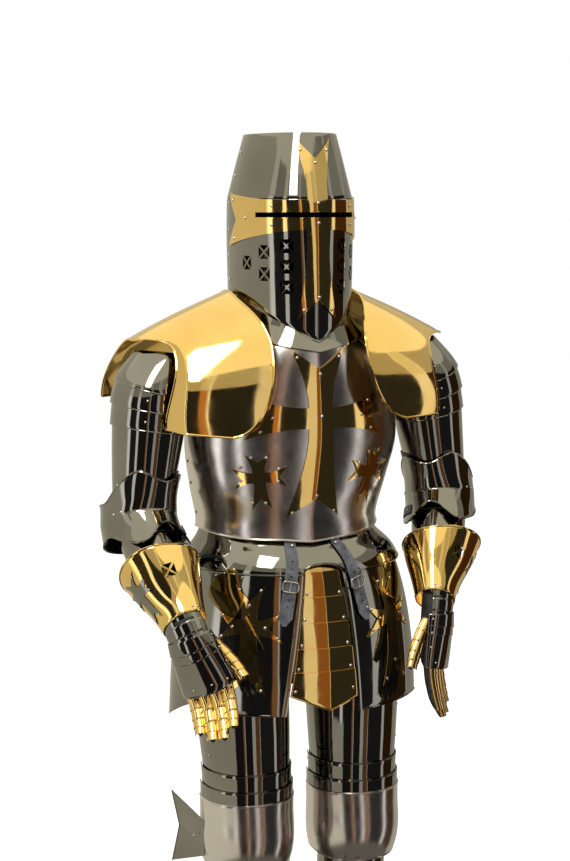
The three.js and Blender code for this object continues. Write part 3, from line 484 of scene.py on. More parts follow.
def shaped(surface, across, along, lift=0.0, thick=PLATE, closed=False, rims=(), fine=None):
    """A plate with rolled edges. rims are (edge name, radius) pairs, with fine points along each."""
    pieces = [thickened(bent_grid(surface, across, along, lift, closed), thick)]
    for name, radius in rims:
        ring = closed and name in ("top", "bottom")
        line = edge_line(surface, name, fine or 3 * across // 2, lift - thick / 2, ring)
        pieces.append(tube(line, radius, ring))
    return joined(pieces)


def plate(node, surface, across, along, slot="blued_steel", **making):
    return stands_for(shaped(surface, across, along, **making), node, slot)


# %% [markdown]
# ## The great helm
# A barrel of two front plates and two back plates, with a flat crown. The front plates lie over
# the back ones, so their side edges show as seams with a row of rivets. The eye slit and the
# breaths are punched after the plate is bent, so that their walls stay straight.
# %% Sizes of the helm
CREASE = 1714  # where the taper begins
HELM_TOP = 1833
HELM_SEAM = 104  # degrees from the front to the side seam
HELM_UPPER = table(
    "z wide front back keel",
    (1840, 81, 123, 118, 0),
    (1833, 82, 125, 120, 0),
    (1775, 98, 138, 134, 0),
    (CREASE, 114, 150, 146, 2),
)
HELM_LOWER = table(
    "z wide front back keel",
    (CREASE, 114, 150, 146, 2),
    (1650, 115, 151, 147, 6),
    (1540, 113, 150, 143, 9),
    (1440, 111, 149, 140, 10),
)
HELM_RADIUS = 125  # turns an arc length round the helm into an angle
INSIDE = -(PLATE + GAP)


def helm_edge(side):
    return 1458 + 80 * np.minimum(side / 82, 1)


def helm_rows(z):
    return HELM_UPPER if z > CREASE else HELM_LOWER


def helm_spot(turn, z, lift=0.0):
    return spot_round(helm_rows(z), turn, z, lift)


# %% Bend the four plates and lay the crown
FRONT = {"start": -HELM_SEAM, "end": HELM_SEAM}
BACK = {"start": HELM_SEAM - 8, "end": 368 - HELM_SEAM}
upper_front = wrapped(HELM_UPPER, **FRONT, top=HELM_TOP, bottom=CREASE + GAP)
lower_front = wrapped(HELM_LOWER, **FRONT, top=CREASE - GAP, bottom=helm_edge)
upper_back = wrapped(HELM_UPPER, **BACK, top=HELM_TOP, bottom=CREASE + GAP)
lower_back = wrapped(HELM_LOWER, **BACK, top=CREASE - GAP, bottom=helm_edge)
plate("helm_upper_front", upper_front, 120, 16)
plate("helm_upper_back", upper_back, 80, 16, lift=INSIDE)
plate("helm_lower_back", lower_back, 80, 24, lift=INSIDE)

deselect()
bpy.ops.mesh.primitive_cylinder_add(vertices=96, radius=1, depth=PLATE * MM, end_fill_type="NGON")
crown = bpy.context.object
crown_half = (crown_high - crown_low) / 2
stretch = Matrix.Diagonal((crown_half[0], crown_half[1], 1, 1))
crown.data.transform(Matrix.Translation((crown_low + crown_high) / 2) @ stretch)
modified(crown, "BEVEL", width=0.5 * MM, segments=3, **FILED)
stands_for(crown, "helm_crown")

# %% Punch the slit and the breaths
SLIT = {"turn": 55, "high": 9, "z": 1685}
BREATH = {"size": 25, "bar": 3.4}
BREATH_PLACES = [(28, 1629), (28, 1592), (28, 1555), (48, 1618), (48, 1578), (66, 1598)]  # turn, height
PUNCH = 30  # how deep a punch goes
QUARTERS = ((1, 0), (0, 1), (-1, 0), (0, -1))  # cosine and sine of each quarter turn


def slit_punch():
    half, high = SLIT["turn"], SLIT["high"] / 2
    strip = wrapped(HELM_LOWER, -half, half, top=SLIT["z"] + high, bottom=SLIT["z"] - high)
    return thickened(bent_grid(strip, 60, 1, lift=PUNCH / 2), PUNCH, edge=0)


def breath_outlines(size, bar):
    """The four triangles that leave an X standing in a square opening."""
    half, inner = size / 2, bar * math.sqrt(0.5)
    corners = np.array([(half - inner, half), (-half + inner, half), (0, inner)])
    for c, s in QUARTERS:
        yield corners @ np.array([[c, s], [-s, c]])


def upright(point, out, up=(0, 0, 1)):
    """Axes on a plate whose Y runs up the plate, for shapes that have a right way up."""
    out = Vector(out)
    across = Vector(up).cross(out).normalized()
    turn = Matrix((across, out.cross(across), out)).transposed().to_4x4()
    return Matrix.Translation(Vector(in_metres(point))) @ turn


def breath_punches(spots):
    outlines = list(breath_outlines(**BREATH))
    return [blank(outline, PUNCH, upright(*place)) for place in spots for outline in outlines]


barrel = thickened(bent_grid(lower_front, 160, 32), PLATE)
breath_spots = [helm_spot(side * turn, z) for turn, z in BREATH_PLACES for side in (-1, 1)]
punched(barrel, [slit_punch(), *breath_punches(breath_spots)])
stands_for(barrel, "helm_lower_front")
print("helm:", len(breath_spots), "breaths")

# %% [markdown]
# ## Forked crosses
# The crosses are sawn from brass sheet with forked ends and riveted on. Their outline is drawn
# flat, sliced into narrow strips so that it can bend, and laid on the plate beneath. Drawing it
# flat keeps the arms' curves fair, which carving it in place would not.
# %% Draw, slice and lay a cross
ARM_STEPS = (0.15, 0.3, 0.45, 0.6, 0.75, 0.9, 1.0)
SLICE = 7.0  # widest strip, in millimetres


def forked_cross(upright_waist, bar_waist, **arms):
    """Each arm is (reach, half-width of its end, depth of its fork, drop of its end)."""
    outline = []
    for quarter, name in enumerate(("up", "left", "down", "right")):
        reach, end, fork, drop = (*arms[name], 0)[:4]
        lengthwise = quarter % 2 == 0
        half, start = (upright_waist, bar_waist) if lengthwise else (bar_waist, upright_waist)
        shift = -drop if name == "left" else drop
        side = [(mix(half, end, t * t), mix(start, reach, t), shift * t) for t in ARM_STEPS]
        arm = [(half, start), *((x + d, y) for x, y, d in side), (shift, reach - fork)]
        arm += [(d - x, y) for x, y, d in reversed(side)]
        c, s = QUARTERS[quarter]
        outline += [(x * c - y * s, x * s + y * c) for x, y in arm]
    return np.array(outline)


def sliced(piece, step=SLICE):
    low, high = coordinates(piece).min(0), coordinates(piece).max(0)
    for axis in (0, 1):
        plane = np.eye(3)[axis]
        for at in np.arange(low[axis] + step * MM / 2, high[axis], step * MM):
            cut = {"plane_co": tuple(plane * at), "plane_no": tuple(plane)}
            tidy_edit(piece, (bpy.ops.mesh.bisect, cut))
    return piece


def laid(outline, rows_at, turn, z, radius, lift, tilt=0.0, axes=None, thick=PLATE):
    """A flat outline laid on a tabled plate, with its middle at an angle and a height."""
    c, s = math.cos(math.radians(tilt)), math.sin(math.radians(tilt))
    piece = sliced(blank(outline @ np.array([[c, s], [-s, c]])))
    places = [
        spot_round(rows_at(z + y), turn + math.degrees(x / radius), z + y, lift, axes)[0]
        for x, y, _ in coordinates(piece) / MM
    ]
    set_coordinates(piece, in_metres(places))
    return thickened(piece, thick, edge=0)


# %% The cross on the helm
ON_TOP = PLATE + GAP + SLACK  # an overlay's outer face above the plate's
bar_arm = (198, 49, 28, 10)
helm_cross = forked_cross(21, 27, up=(138, 50, 38), left=bar_arm, down=(190, 41, 36), right=bar_arm)
piece = laid(helm_cross, helm_rows, 0, SLIT["z"] + 1, HELM_RADIUS, ON_TOP)
stands_for(punched(piece, [slit_punch()]), "helm_cross", "brass")
print("helm cross spans", np.ptp(helm_cross, axis=0).round(), "mm")

# %% [markdown]
# ## Gorget, breast and back
# The collar closes the helm's lower edge. The breastplate is raised from one sheet with a keel
# down its middle, and its lower edge flares over the waist.
# %% Collar
GORGET = table(
    "z wide front back keel",
    (1552, 104, 139, 128, 8),
    (1518, 107, 142, 127, 9),
    (1480, 126, 143, 121, 10),
    (1430, 176, 160, 132, 13),
)


def collar_top(side):
    return helm_edge(side) - 1.5 + 7.5 * ease(side, 0, 25)


def collar_bottom(side):
    return 1438 + 34 * np.minimum(side / 75, 1)


collar = wrapped(GORGET, top=collar_top, bottom=collar_bottom)
plate("gorget", collar, 128, 12, closed=True, rims=[("top", 2.4)])

# %% Breast and back
TORSO = table(
    "z wide front back keel x",
    (1500, 108, 128, 100, 9, 0),
    (1455, 146, 146, 112, 12, 0),
    (1390, 184, 152, 124, 14, 0),
    (1276, 210, 156, 128, 14, 2),
    (1180, 194, 150, 120, 13, -5),
    (1120, 180, 141, 112, 11, -8),
    (1085, 182, 147, 115, 10, -8),
)
WAIST_EDGE = 1092
breast_top = curve(1452, (8, 0, 35), (-128, 36, 84))
breast_edge = curve(WAIST_EDGE - 4, (12, 30, 90), (4, 0, 20))
back_top = curve(1332, (128, 96, 140), (24, 140, 175))
breast = wrapped(TORSO, -90, 90, top=breast_top, bottom=breast_edge)
back = wrapped(TORSO, 84, 276, top=back_top, bottom=WAIST_EDGE + 10)
plate("breastplate", breast, 120, 64, "satin_steel", rims=[("bottom", 2.4)])
plate("backplate", back, 96, 48, "satin_steel", lift=INSIDE - 2 * SLACK)

# %% Three crosses on the breast
CHEST_RADIUS = 180
bar_arm, star_arm = (124, 40, 27), (48, 20, 16)
chest_cross = forked_cross(20, 19, up=(126, 60, 36), left=bar_arm, down=(183, 50, 34), right=bar_arm)
small_cross = forked_cross(10, 9, up=(44, 22, 15), left=star_arm, down=(60, 20, 22), right=star_arm)
CHEST_CROSSES = (  # name, outline, angle, height and tilt
    ("breast_cross", chest_cross, 0, 1318, 0),
    ("breast_star_right", small_cross, -31, 1209, 5),
    ("breast_star_left", small_cross, 35, 1211, -5),
)
for name, outline, turn, z, tilt in CHEST_CROSSES:
    stands_for(laid(outline, lambda z: TORSO, turn, z, CHEST_RADIUS, ON_TOP, tilt), name, "brass")
print("torso plates bent")

# %% [markdown]
# ## Skirt of plates
# Below the waist a wide lame carries everything else: five narrow brass lames in the middle,
# a long plate over each thigh, side plates and one behind. All are wrapped on one flaring form,
# so that they hang in line, and each lies over the next by its own thickness.
# %% The skirt's form
SIDES = (("right", -1), ("left", 1))
HANDED = {"right": mirrored, "left": lambda surface: surface}  # plates drawn for the left, made for both
SKIRT = table(
    "z wide front back keel x",
    (1120, 158, 120, 92, 4, -8),
    (1085, 173, 138, 106, 5, -6),
    (1055, 198, 166, 130, 6, 0),
    (1030, 210, 178, 144, 6, 2),
    (950, 230, 188, 162, 6, 6),
    (850, 243, 194, 174, 8, 8),
    (720, 249, 198, 184, 8, 8),
)
FAULD_TOP, FAULD_EDGE, TASSET_TOP = 1109, 1031, 1040
ARCH_TURN, ARCH_RISE = 11, 17  # the arch over the brass lames
LAYER = PLATE + GAP


def fauld_bottom(side):
    return FAULD_EDGE + ARCH_RISE * np.sqrt(np.maximum(0, 1 - (side / ARCH_TURN) ** 2))


def hanging(left, right, top, bottom):
    """A skirt plate between two edges that may slant. Its hem may curve with the angle."""

    def surface(u, v):
        turn = mix(left(v) if callable(left) else left, right(v) if callable(right) else right, u)
        low = bottom(np.abs(turn)) if callable(bottom) else bottom
        return around(SKIRT, turn, mix(low, top, v))

    return surface


fauld_front = wrapped(SKIRT, -96, 96, top=FAULD_TOP, bottom=fauld_bottom)
fauld_back = wrapped(SKIRT, 90, 270, top=FAULD_TOP, bottom=FAULD_EDGE)
plate("fauld_front", fauld_front, 256, 16, lift=2 * LAYER, rims=[("bottom", 2.2)])
plate("fauld_back", fauld_back, 96, 16, lift=LAYER, rims=[("bottom", 2.0)])

# %% Brass lames down the middle
LAMES = [(1062, 984), (990, 937), (943, 890), (896, 847), (853, 806)]  # top, bottom
PANEL_TOP, PANEL_BOTTOM = 1046, 806
POINT = 26  # how far the last lame comes down to a point


def panel(z):
    """Half-width and lean of the panel, in degrees, at a height."""
    share = (PANEL_TOP - z) / (PANEL_TOP - PANEL_BOTTOM)
    return mix(9.2, 15.2, share), -2.4 * share


def lame_layer(i):
    """How far a lame lies from the skirt's form; each laps over the one above."""
    return (i - 1) * LAYER - 3


for i, (top, bottom) in enumerate(LAMES):
    half = panel(bottom)[0]
    point = POINT if i == len(LAMES) - 1 else 0

    def lame_edge(side, bottom=bottom, half=half, point=point):
        return bottom - point * (1 - side / half)

    def lame_side(sign, top=top, bottom=bottom):
        return lambda v: panel(mix(bottom, top, v))[1] + sign * panel(mix(bottom, top, v))[0]

    surface = hanging(lame_side(-1), lame_side(1), top, lame_edge)
    rim = ("bottom", 1.8 if point else 1.2)
    plate(f"fauld_lame_{i + 1}", surface, 32, 10, "brass", lift=lame_layer(i), rims=[rim])

# %% Plates over the thighs, sides and back
TASSET_RADIUS, TASSET_CROSS_Z = 215, 936
TASSET_TURN = 37  # degrees from the front to the middle of a thigh plate
bar_arm = (62, 30, 26)
tasset_cross = forked_cross(14, 14, up=(78, 30, 30), left=bar_arm, down=(128, 34, 34), right=bar_arm)


hem = curve(790, (-60, 55, 110))
for name, side in SIDES:
    inner = lambda v, side=side: side * mix(17.4 - 2.8 * side, 11.4, v)
    edges = (inner, side * 62)[::side]  # the wearer's right edge first
    front_plate = hanging(*edges, TASSET_TOP, 772)
    side_plate = hanging(*sorted((side * 55, side * 128)), TASSET_TOP, hem)
    rolled = "start" if side > 0 else "end"
    plate("tasset_front_" + name, front_plate, 64, 32, rims=[(rolled, 5.0), ("bottom", 2.2)])
    plate("tasset_side_" + name, side_plate, 64, 32, lift=-(LAYER + SLACK), rims=[("bottom", 2.0)])
    cross = laid(tasset_cross, lambda z: SKIRT, side * TASSET_TURN, TASSET_CROSS_Z, TASSET_RADIUS, ON_TOP)
    stands_for(cross, "tasset_cross_" + name, "brass")
culet = wrapped(SKIRT, 122, 238, top=TASSET_TOP, bottom=728)
plate("culet", culet, 64, 32, lift=-2 * (LAYER + SLACK), rims=[("bottom", 2.0)])
print("skirt plates hung")

# %% [markdown]
# ## Straps and buckles
# Two leather straps hang from the waist lame to carry the thigh plates, each through a small
# frame buckle. A strap is bent from a grid like a plate, so that it lies on the metal, with a
# pointed end, punched holes and a tongue of wire across the buckle.
# %% Cut and buckle the straps
STRAP_TOP, STRAP_TIP, BUCKLE_Z = 1103, 940, 1011
STRAP_HALF = 3.2  # half the strap's width, in degrees
STRAP_TURNS = {"right": (-13.6, -20.4), "left": (13.2, 19.4)}  # at the top and at the tip
STRAP_HOLES, HOLE = (1052, 1040, 1029, 988, 976), 1.7  # heights and radius
BUCKLE_WIDE, BUCKLE_HIGH = 14.5, 9.5  # halves of the buckle's frame
ON_SKIRT = 2 * LAYER + GAP + LEATHER + SLACK


def circle(count):
    turn = np.linspace(0, 2 * np.pi, count, endpoint=False)
    return np.stack([np.cos(turn), np.sin(turn)], -1)


for name, (turn_top, turn_tip) in STRAP_TURNS.items():

    def strap(u, v, turn_top=turn_top, turn_tip=turn_tip):
        half = STRAP_HALF * np.minimum(1, 0.25 + v * 9)
        return around(SKIRT, mix(turn_tip, turn_top, v) + mix(-half, half, u), mix(STRAP_TIP, STRAP_TOP, v))

    along = lambda z: (z - STRAP_TIP) / (STRAP_TOP - STRAP_TIP)
    piece = thickened(bent_grid(strap, 12, 80, ON_SKIRT), LEATHER, edge=0.5)
    holes = [upright(*spot(strap, 0.5, along(z), ON_SKIRT)) for z in STRAP_HOLES]
    punched(piece, [blank(HOLE * circle(12), 4 * LEATHER, axes) for axes in holes])
    stands_for(piece, "strap_" + name, "strap_leather", "_leather")

    point, out = spot(strap, 0.5, along(BUCKLE_Z), ON_SKIRT + 2.2)
    up = spot(strap, 0.5, along(BUCKLE_Z) + 0.05, ON_SKIRT + 2.2)[0] - point
    up /= np.linalg.norm(up)
    round_frame = circle(40)
    squarish = np.sign(round_frame) * np.abs(round_frame) ** 0.5 * [BUCKLE_WIDE, BUCKLE_HIGH]
    frame_line = point + squarish @ np.stack([np.cross(up, out), up])
    tongue = tube([point - up * BUCKLE_HIGH, point + out * 1.6, point + up * 10.5 + out * 0.6], 1.1)
    buckle = joined([tube(frame_line, 1.7, ring=True), tongue])
    stands_for(buckle, "buckle_" + name, "satin_steel", "_frame")

# %% [markdown]
# ## Pauldrons
# Each shoulder wears a brass shell that runs from the neck out over the arm, with a wing down
# the front and another behind. It is ruled across the body: at each distance out from the neck
# it has a ridge height and a reach forward and back.
# %% Brass shells
PAULDRON = table(
    "z top front back",
    (320, 1452, 112, 120),
    (290, 1470, 126, 128),
    (220, 1504, 154, 138),
    (150, 1534, 173, 140),
    (84, 1560, 184, 138),
)
SPRING = 1330  # height of the centre that the shell curves round
BACK_TURN, FOLD_TURN = -84, 18  # how far it reaches behind, and where its outer edge starts to fold
NECK, SHOULDER_END = 124, 310  # inner and outer edge over the top
CORNER = 84  # rounding of the front wing's inner corner
WINGS = {"right": (89, 1290), "left": (96, 1312)}  # inner edge of the front wing, its lowest height


def pauldron(wing_inner, wing_bottom):
    lowest = math.degrees(math.acos((wing_bottom - SPRING) / 190))

    def surface(u, v):
        turn = mix(lowest, BACK_TURN, v ** 1.4)
        corner = np.clip((turn - 60) / (lowest - 60), 0, 0.995)
        rounding = CORNER * (1 - np.sqrt(1 - corner ** 2))
        inner = mix(NECK, wing_inner, ease(turn, 15, 60)) + rounding + 10 * ease(-turn, 40, 92)
        outer = SHOULDER_END - 54 * ease(turn, 4, 46) + 26 * (ease(turn, 50, 100) + ease(-turn, 10, 80))
        x = mix(inner, outer, u)
        row = section(PAULDRON, x)
        angle = np.radians(turn)
        reach = np.where(turn > 0, row["front"], row["back"])
        past_fold = np.maximum(x - outer + 36 * np.clip((turn - FOLD_TURN) / (lowest - FOLD_TURN), 0, 1), 0)
        y = -reach * np.sin(angle) + 0.85 * past_fold
        return np.stack([x - 0.3 * past_fold, y, SPRING + (row["top"] - SPRING) * np.cos(angle)], -1)

    return surface


for name, wing in WINGS.items():
    shell = pauldron(*wing)
    rims = [("start", 2.4), ("end", 2.4), ("top", 2.2), ("bottom", 2.2)]
    plate("pauldron_" + name, HANDED[name](shell), 64, 96, "brass", rims=rims)

# %% [markdown]
# ## Arms
# Every arm plate is made in the axes of its own bone and then placed, as an armourer builds an
# arm on a stake before hanging it. The elbow and wrist points come from the CAD model's tables.
# %% The bones of the arms
SHOULDER_POINT = (270, -10, 1400)
ARM_POINTS = {
    "right": {"elbow": (-305, -38, 1126), "wrist": (-270, -218, 957)},
    "left": {"elbow": (312, -15, 1136), "wrist": (236, -163, 949)},
}
HAND_WAYS = {
    "right": {"reach": (0.315, -0.206, -0.927), "back": (-0.607, -0.79, 0)},
    "left": {"reach": (-0.08, -0.08, -0.99), "back": (0.79, -0.607, 0)},
}


def unit(vector):
    vector = np.asarray(vector, float)
    return vector / np.linalg.norm(vector)


def axes_at(origin, up, front):
    """Axes whose Z runs along up and whose front, -Y, faces as front says."""
    z = unit(up)
    y = -unit(np.asarray(front) - np.dot(front, z) * z)
    return np.stack([np.cross(y, z), y, z], -1), np.asarray(origin, float)


ARM_AXES = {}
for name, side in SIDES:
    shoulder = np.array(SHOULDER_POINT) * [side, 1, 1]
    elbow, wrist = (np.array(ARM_POINTS[name][joint], float) for joint in ("elbow", "wrist"))
    reach, back_of_hand = (np.array(HAND_WAYS[name][way]) for way in ("reach", "back"))
    upper_way, fore_way = unit(shoulder - elbow), unit(elbow - wrist)
    crook = upper_way - fore_way
    ARM_AXES[name] = {
        "upper": axes_at(elbow, upper_way, crook),
        "elbow": axes_at(elbow, upper_way + fore_way, crook),
        "fore": axes_at(elbow, fore_way, crook),
        "cuff": axes_at(wrist, fore_way, back_of_hand),
        "hand": axes_at(wrist, -reach, back_of_hand),
    }
    print(name, "forearm", round(float(np.linalg.norm(elbow - wrist))), "mm long")

# %% Arm tables
UPPER_ARM = table(
    "z wide front back x",
    (330, 40, 48, 48, -34),
    (300, 52, 60, 60, -22),
    (250, 65, 67, 67, -4),
    (190, 68, 68, 68, 0),
    (120, 63, 63, 63, 0),
    (40, 55, 55, 55, 0),
)
COUTER = table(
    "z wide front back",
    (66, 72, 103, 66),
    (30, 67, 83, 78),
    (2, 68, 71, 86),
    (-2, 68, 71, 86),
    (-30, 68, 82, 84),
    (-66, 74, 102, 76),
)
FOREARM = table("z wide front back", (-20, 53, 48, 53), (-80, 52, 46, 52), (-160, 45, 41, 42))
CUFF = table("z wide front back", (150, 80, 86, 72), (100, 66, 68, 61), (50, 50, 46, 46), (12, 42, 37, 37))
HAND_PLATE = table(
    "z wide front back", (0, 38, 34, 30), (-40, 46, 35, 30), (-80, 51, 33, 28), (-112, 53, 30, 26)
)
PALM = table("z wide front back", (24, 29, 25, 25), (-30, 38, 25, 25), (-80, 45, 21, 24), (-108, 45, 15, 18))
SHOULDER_LAMES = {  # top, bottom, layer, how far the front hangs below the back
    "upper": (306, 246, 3, 15),
    "middle": (256, 208, 2, 11),
    "lower": (218, 170, 1, 7),
}
# The elbow plate has two lobes above and below with a notch between; the lower rim is scooped
# out in the crook, so that the bent forearm clears it.
couter_top = curve(44, (-12, 68, 98), (8, 98, 132), bells=[(22, 44, 25)])
couter_bottom = curve(-44, (12, 68, 98), (-8, 98, 132), bells=[(-22, 44, 25), (20, 0, 34)])
rerebrace_bottom = curve(34, bells=[(-28, 95, 30)])
elbow_ear = curve(-60, (22, 15, 60), bells=[(46, 90, 20)])
cuff_top = curve(142, (-14, 0, 120))

# %% Bend the arm plates
CUFF_TURN, CUFF_HEIGHT = 40, 92  # where the cuff's cut-out sits
CUFF_BREATH = {"size": 24, "bar": 3.4}
CUFF_ROLLS = (("top", 110, 2.2), ("bottom", 72, 1.4))  # edge, points along it, radius
for name, side in SIDES:
    axes = ARM_AXES[name]
    handed = HANDED[name]
    for lame, (top, bottom, layer, hang) in SHOULDER_LAMES.items():
        low_edge = lambda s, low=bottom, hang=hang: low - hang * np.cos(np.radians(s))
        surface = placed(handed(wrapped(UPPER_ARM, top=top, bottom=low_edge)), axes["upper"])
        lift = layer * (LAYER + SLACK)
        plate(f"shoulder_lame_{lame}_{name}", surface, 72, 10, lift=lift, closed=True, rims=[("bottom", 1.3)])
    tube_arm = wrapped(UPPER_ARM, top=182, bottom=rerebrace_bottom)
    plate("rerebrace_" + name, placed(tube_arm, axes["upper"]), 72, 24, closed=True)
    cup = wrapped(COUTER, top=couter_top, bottom=couter_bottom)
    rims = [("top", 2.0), ("bottom", 2.0)]
    plate("couter_" + name, placed(cup, axes["elbow"]), 112, 40, closed=True, rims=rims)
    bracer = wrapped(FOREARM, top=elbow_ear, bottom=-158)
    plate("vambrace_" + name, placed(bracer, axes["fore"]), 96, 24, closed=True)

    cone = placed(wrapped(CUFF, top=cuff_top, bottom=14), axes["cuff"])
    piece = shaped(cone, 96, 32, closed=True)
    middle = spot_round(CUFF, -side * CUFF_TURN, CUFF_HEIGHT, 0, axes["cuff"])
    cut_out = upright(*middle, axes["cuff"][0][:, 2])
    punched(piece, [blank(outline, PUNCH, cut_out) for outline in breath_outlines(**CUFF_BREATH)])
    for edge, count, radius in CUFF_ROLLS:
        roll = tube(edge_line(cone, edge, count, -PLATE / 2, True), radius, True)
        piece = joined([piece, roll])
    stands_for(piece, "gauntlet_cuff_" + name, "brass")
print("arm plates bent")

# %% [markdown]
# ## Hands
# The glove is one soft leather shape: fingers and palm are roughed out as tapering tubes, fused
# by a fine remesh and smoothed, which rounds the webs between the fingers as leather does. The
# metal over it is a stack of small lames, each lapping over the next towards the fingertips.
# %% Fingers and thumb
# across, length and radius of each finger
FINGERS = ((33, 98, 11.0), (11.5, 114, 11.3), (-11.5, 110, 11.3), (-33, 92, 10.5))
KNUCKLE = -98
CURL = {"right": 14, "left": 7}  # degrees that each joint is bent
PHALANGES = ((0.0, 1.0), (0.38, 0.96), (0.34, 0.86), (0.28, 0.6))  # step and width at each joint
THUMB = (100, 12.5)  # length, radius


def finger_line(base, heading, length, bend):
    """The middle line of a finger that curls towards the palm, +Y."""
    points, direction, at = [], np.array(heading, float), np.array(base, float)
    turn = np.array(Matrix.Rotation(math.radians(-bend), 3, "X"))
    for step, _ in PHALANGES:
        at = at + direction * step * length
        points.append(at)
        direction = turn @ direction
    return np.array(points)


def resampled(points, widths, count=24):
    """A smooth line through a few points, with its width at each step."""
    t = np.linspace(0, len(points) - 1, count)
    line = read_along(points, t)
    for _ in range(2):
        line[1:-1] = (line[:-2] + 2 * line[1:-1] + line[2:]) / 4
    return line, np.interp(t, range(len(points)), widths)


def digits(name, side):
    """Each digit's line, widths and outer side, in the hand's own axes."""
    rows = [((-side * across, 0, KNUCKLE), (0, 0, -1), *size, (0, -1, 0)) for across, *size in FINGERS]
    thumb_way = unit((-side * 0.42, 0.38, -0.82))
    rows.append(((-side * 24, 8, -26), thumb_way, *THUMB, (-side * 0.75, -0.66, 0)))
    for base, heading, length, radius, dorsal in rows:
        line = finger_line(base, heading, length, CURL[name])
        yield *resampled(line, [width * radius for _, width in PHALANGES]), dorsal


# %% Fuse the gloves
VOXEL = 2.2  # millimetres between points of the fused leather
for name, side in SIDES:
    turn, origin = ARM_AXES[name]["hand"]
    rough = []
    for line, widths, _ in digits(name, side):
        rounded_end = np.clip(np.sqrt(1 - np.linspace(-0.1, 0.97, len(line)).clip(0, 1) ** 8), 0.25, 1)
        rough.append(tube(line @ turn.T + origin, 1.0, sides=12, taper=widths * rounded_end))
    palm = placed(wrapped(PALM, top=24, bottom=-108), (turn, origin))
    palm_piece = bent_grid(palm, 32, 24, seam=True)
    tidy_edit(palm_piece, FILL)
    glove = joined([palm_piece, *rough])
    modified(glove, "REMESH", mode="VOXEL", voxel_size=VOXEL * MM)
    modified(glove, "SMOOTH", factor=0.6, iterations=5)
    stands_for(glove, "glove_" + name, "glove_leather", "_leather")
    print("glove", name, len(glove.data.vertices), "points")


# %% Lames over the back of the hand and the digits
def digit_lame(line, widths, dorsal, start, end, spread, lift):
    """A half tube over part of a digit. Its far edge is lifted so that it laps the next one."""
    tangent = np.gradient(line, axis=0)
    tangent /= np.linalg.norm(tangent, axis=1, keepdims=True)
    top = dorsal - (tangent @ dorsal)[:, None] * tangent
    top /= np.linalg.norm(top, axis=1, keepdims=True)
    side = np.cross(top, tangent)

    def surface(u, v):
        at = mix(end, start, v) * (len(line) - 1)
        angle = np.radians(mix(spread, -spread, u))[:, None]
        reach = (np.interp(at, range(len(line)), widths) + lift + 1.6 * (1 - v))[:, None]
        over = np.cos(angle) * read_along(top, at) + np.sin(angle) * read_along(side, at)
        return read_along(line, at) + reach * over

    return surface


DIGIT_LAMES = ((-0.06, 0.22), (0.16, 0.42), (0.37, 0.62), (0.57, 0.82), (0.77, 0.99))  # from, to along it
HAND_LAMES = ((-11, -32), (-27, -48), (-43, -110))  # top, bottom
HAND_STEP, HAND_METAL = 1.3, 1.2  # from one lame to the next, and how thick they are
WRIST_LAMES = ((-0.1, 0.42), (0.34, 0.78), (0.7, 1.15))  # from the cuff's mouth to the hand plate
for name, side in SIDES:
    axes = ARM_AXES[name]["hand"]
    small = []
    for line, widths, dorsal in digits(name, side):
        for start, end in DIGIT_LAMES:
            surface = placed(digit_lame(line, widths, unit(dorsal), max(start, 0), end, 78, 1.4), axes)
            small.append(thickened(bent_grid(surface, 14, 5), 0.9, edge=0.2))
    finished(joined(small), "finger_lames_" + name, "brass", "forearm_" + name)
    stack = []
    for i, (top, bottom) in enumerate(HAND_LAMES):
        knuckles = lambda s, bottom=bottom: bottom - 5 * np.cos(np.radians(s)) ** 2
        layer = placed(wrapped(HAND_PLATE, -92, 92, top=top, bottom=knuckles), axes)
        lift = (2 - i) * HAND_STEP
        stack.append(shaped(layer, 48, 8, lift, HAND_METAL, rims=[("bottom", 1.1)], fine=48))
    stands_for(joined(stack), "hand_plate_" + name)

    cuff_mouth = placed(wrapped(CUFF, -84, 84, 26, 14), ARM_AXES[name]["cuff"])
    hand_top = placed(wrapped(HAND_PLATE, -84, 84, -12, -20), axes)
    wrist = []
    for i, (start, end) in enumerate(WRIST_LAMES):

        def bridge(u, v, start=start, end=end):
            along = mix(end, start, v)[:, None]
            return mix(cuff_mouth(u, np.full_like(v, 0.3)), hand_top(u, np.full_like(v, 0.5)), along)

        lift = (i % 2) * HAND_STEP - 3
        wrist.append(thickened(bent_grid(bridge, 40, 6, lift + 0.4), 1.1))
        wrist.append(tube(edge_line(bridge, "bottom", 40, lift), 0.9))
    finished(joined(wrist), "wrist_lames_" + name, "blued_steel", "forearm_" + name)
print("hands done")

# %% [markdown]
# ## Legs
# Thigh, knee and shin plates are made for the left leg and mirrored, as legs hang straight. The
# knee is a raised dome with a fan at its outer side that guards the tendons behind the joint.
# %% Leg tables
THIGH = table(
    "z wide front back x y",
    (960, 96, 104, 96, 113, -34),
    (800, 91, 102, 94, 113, -44),
    (700, 86, 92, 88, 110, -56),
    (630, 82, 86, 82, 108, -62),
    (550, 82, 86, 80, 108, -62),
)
KNEECAP = table(
    "z wide front back x y",
    (606, 90, 94, 88, 108, -62),
    (560, 89, 98, 88, 108, -62),
    (515, 90, 102, 88, 108, -62),
    (480, 87, 95, 86, 108, -62),
    (455, 80, 82, 80, 108, -62),
)
SHIN = table(
    "z wide front back x y",
    (500, 64, 60, 60, 108, -62),
    (430, 66, 64, 66, 108, -60),
    (340, 63, 56, 76, 107, -54),
    (220, 51, 50, 54, 106, -50),
    (120, 47, 50, 46, 106, -48),
    (70, 54, 62, 54, 106, -48),
)
SHOE_X = 106
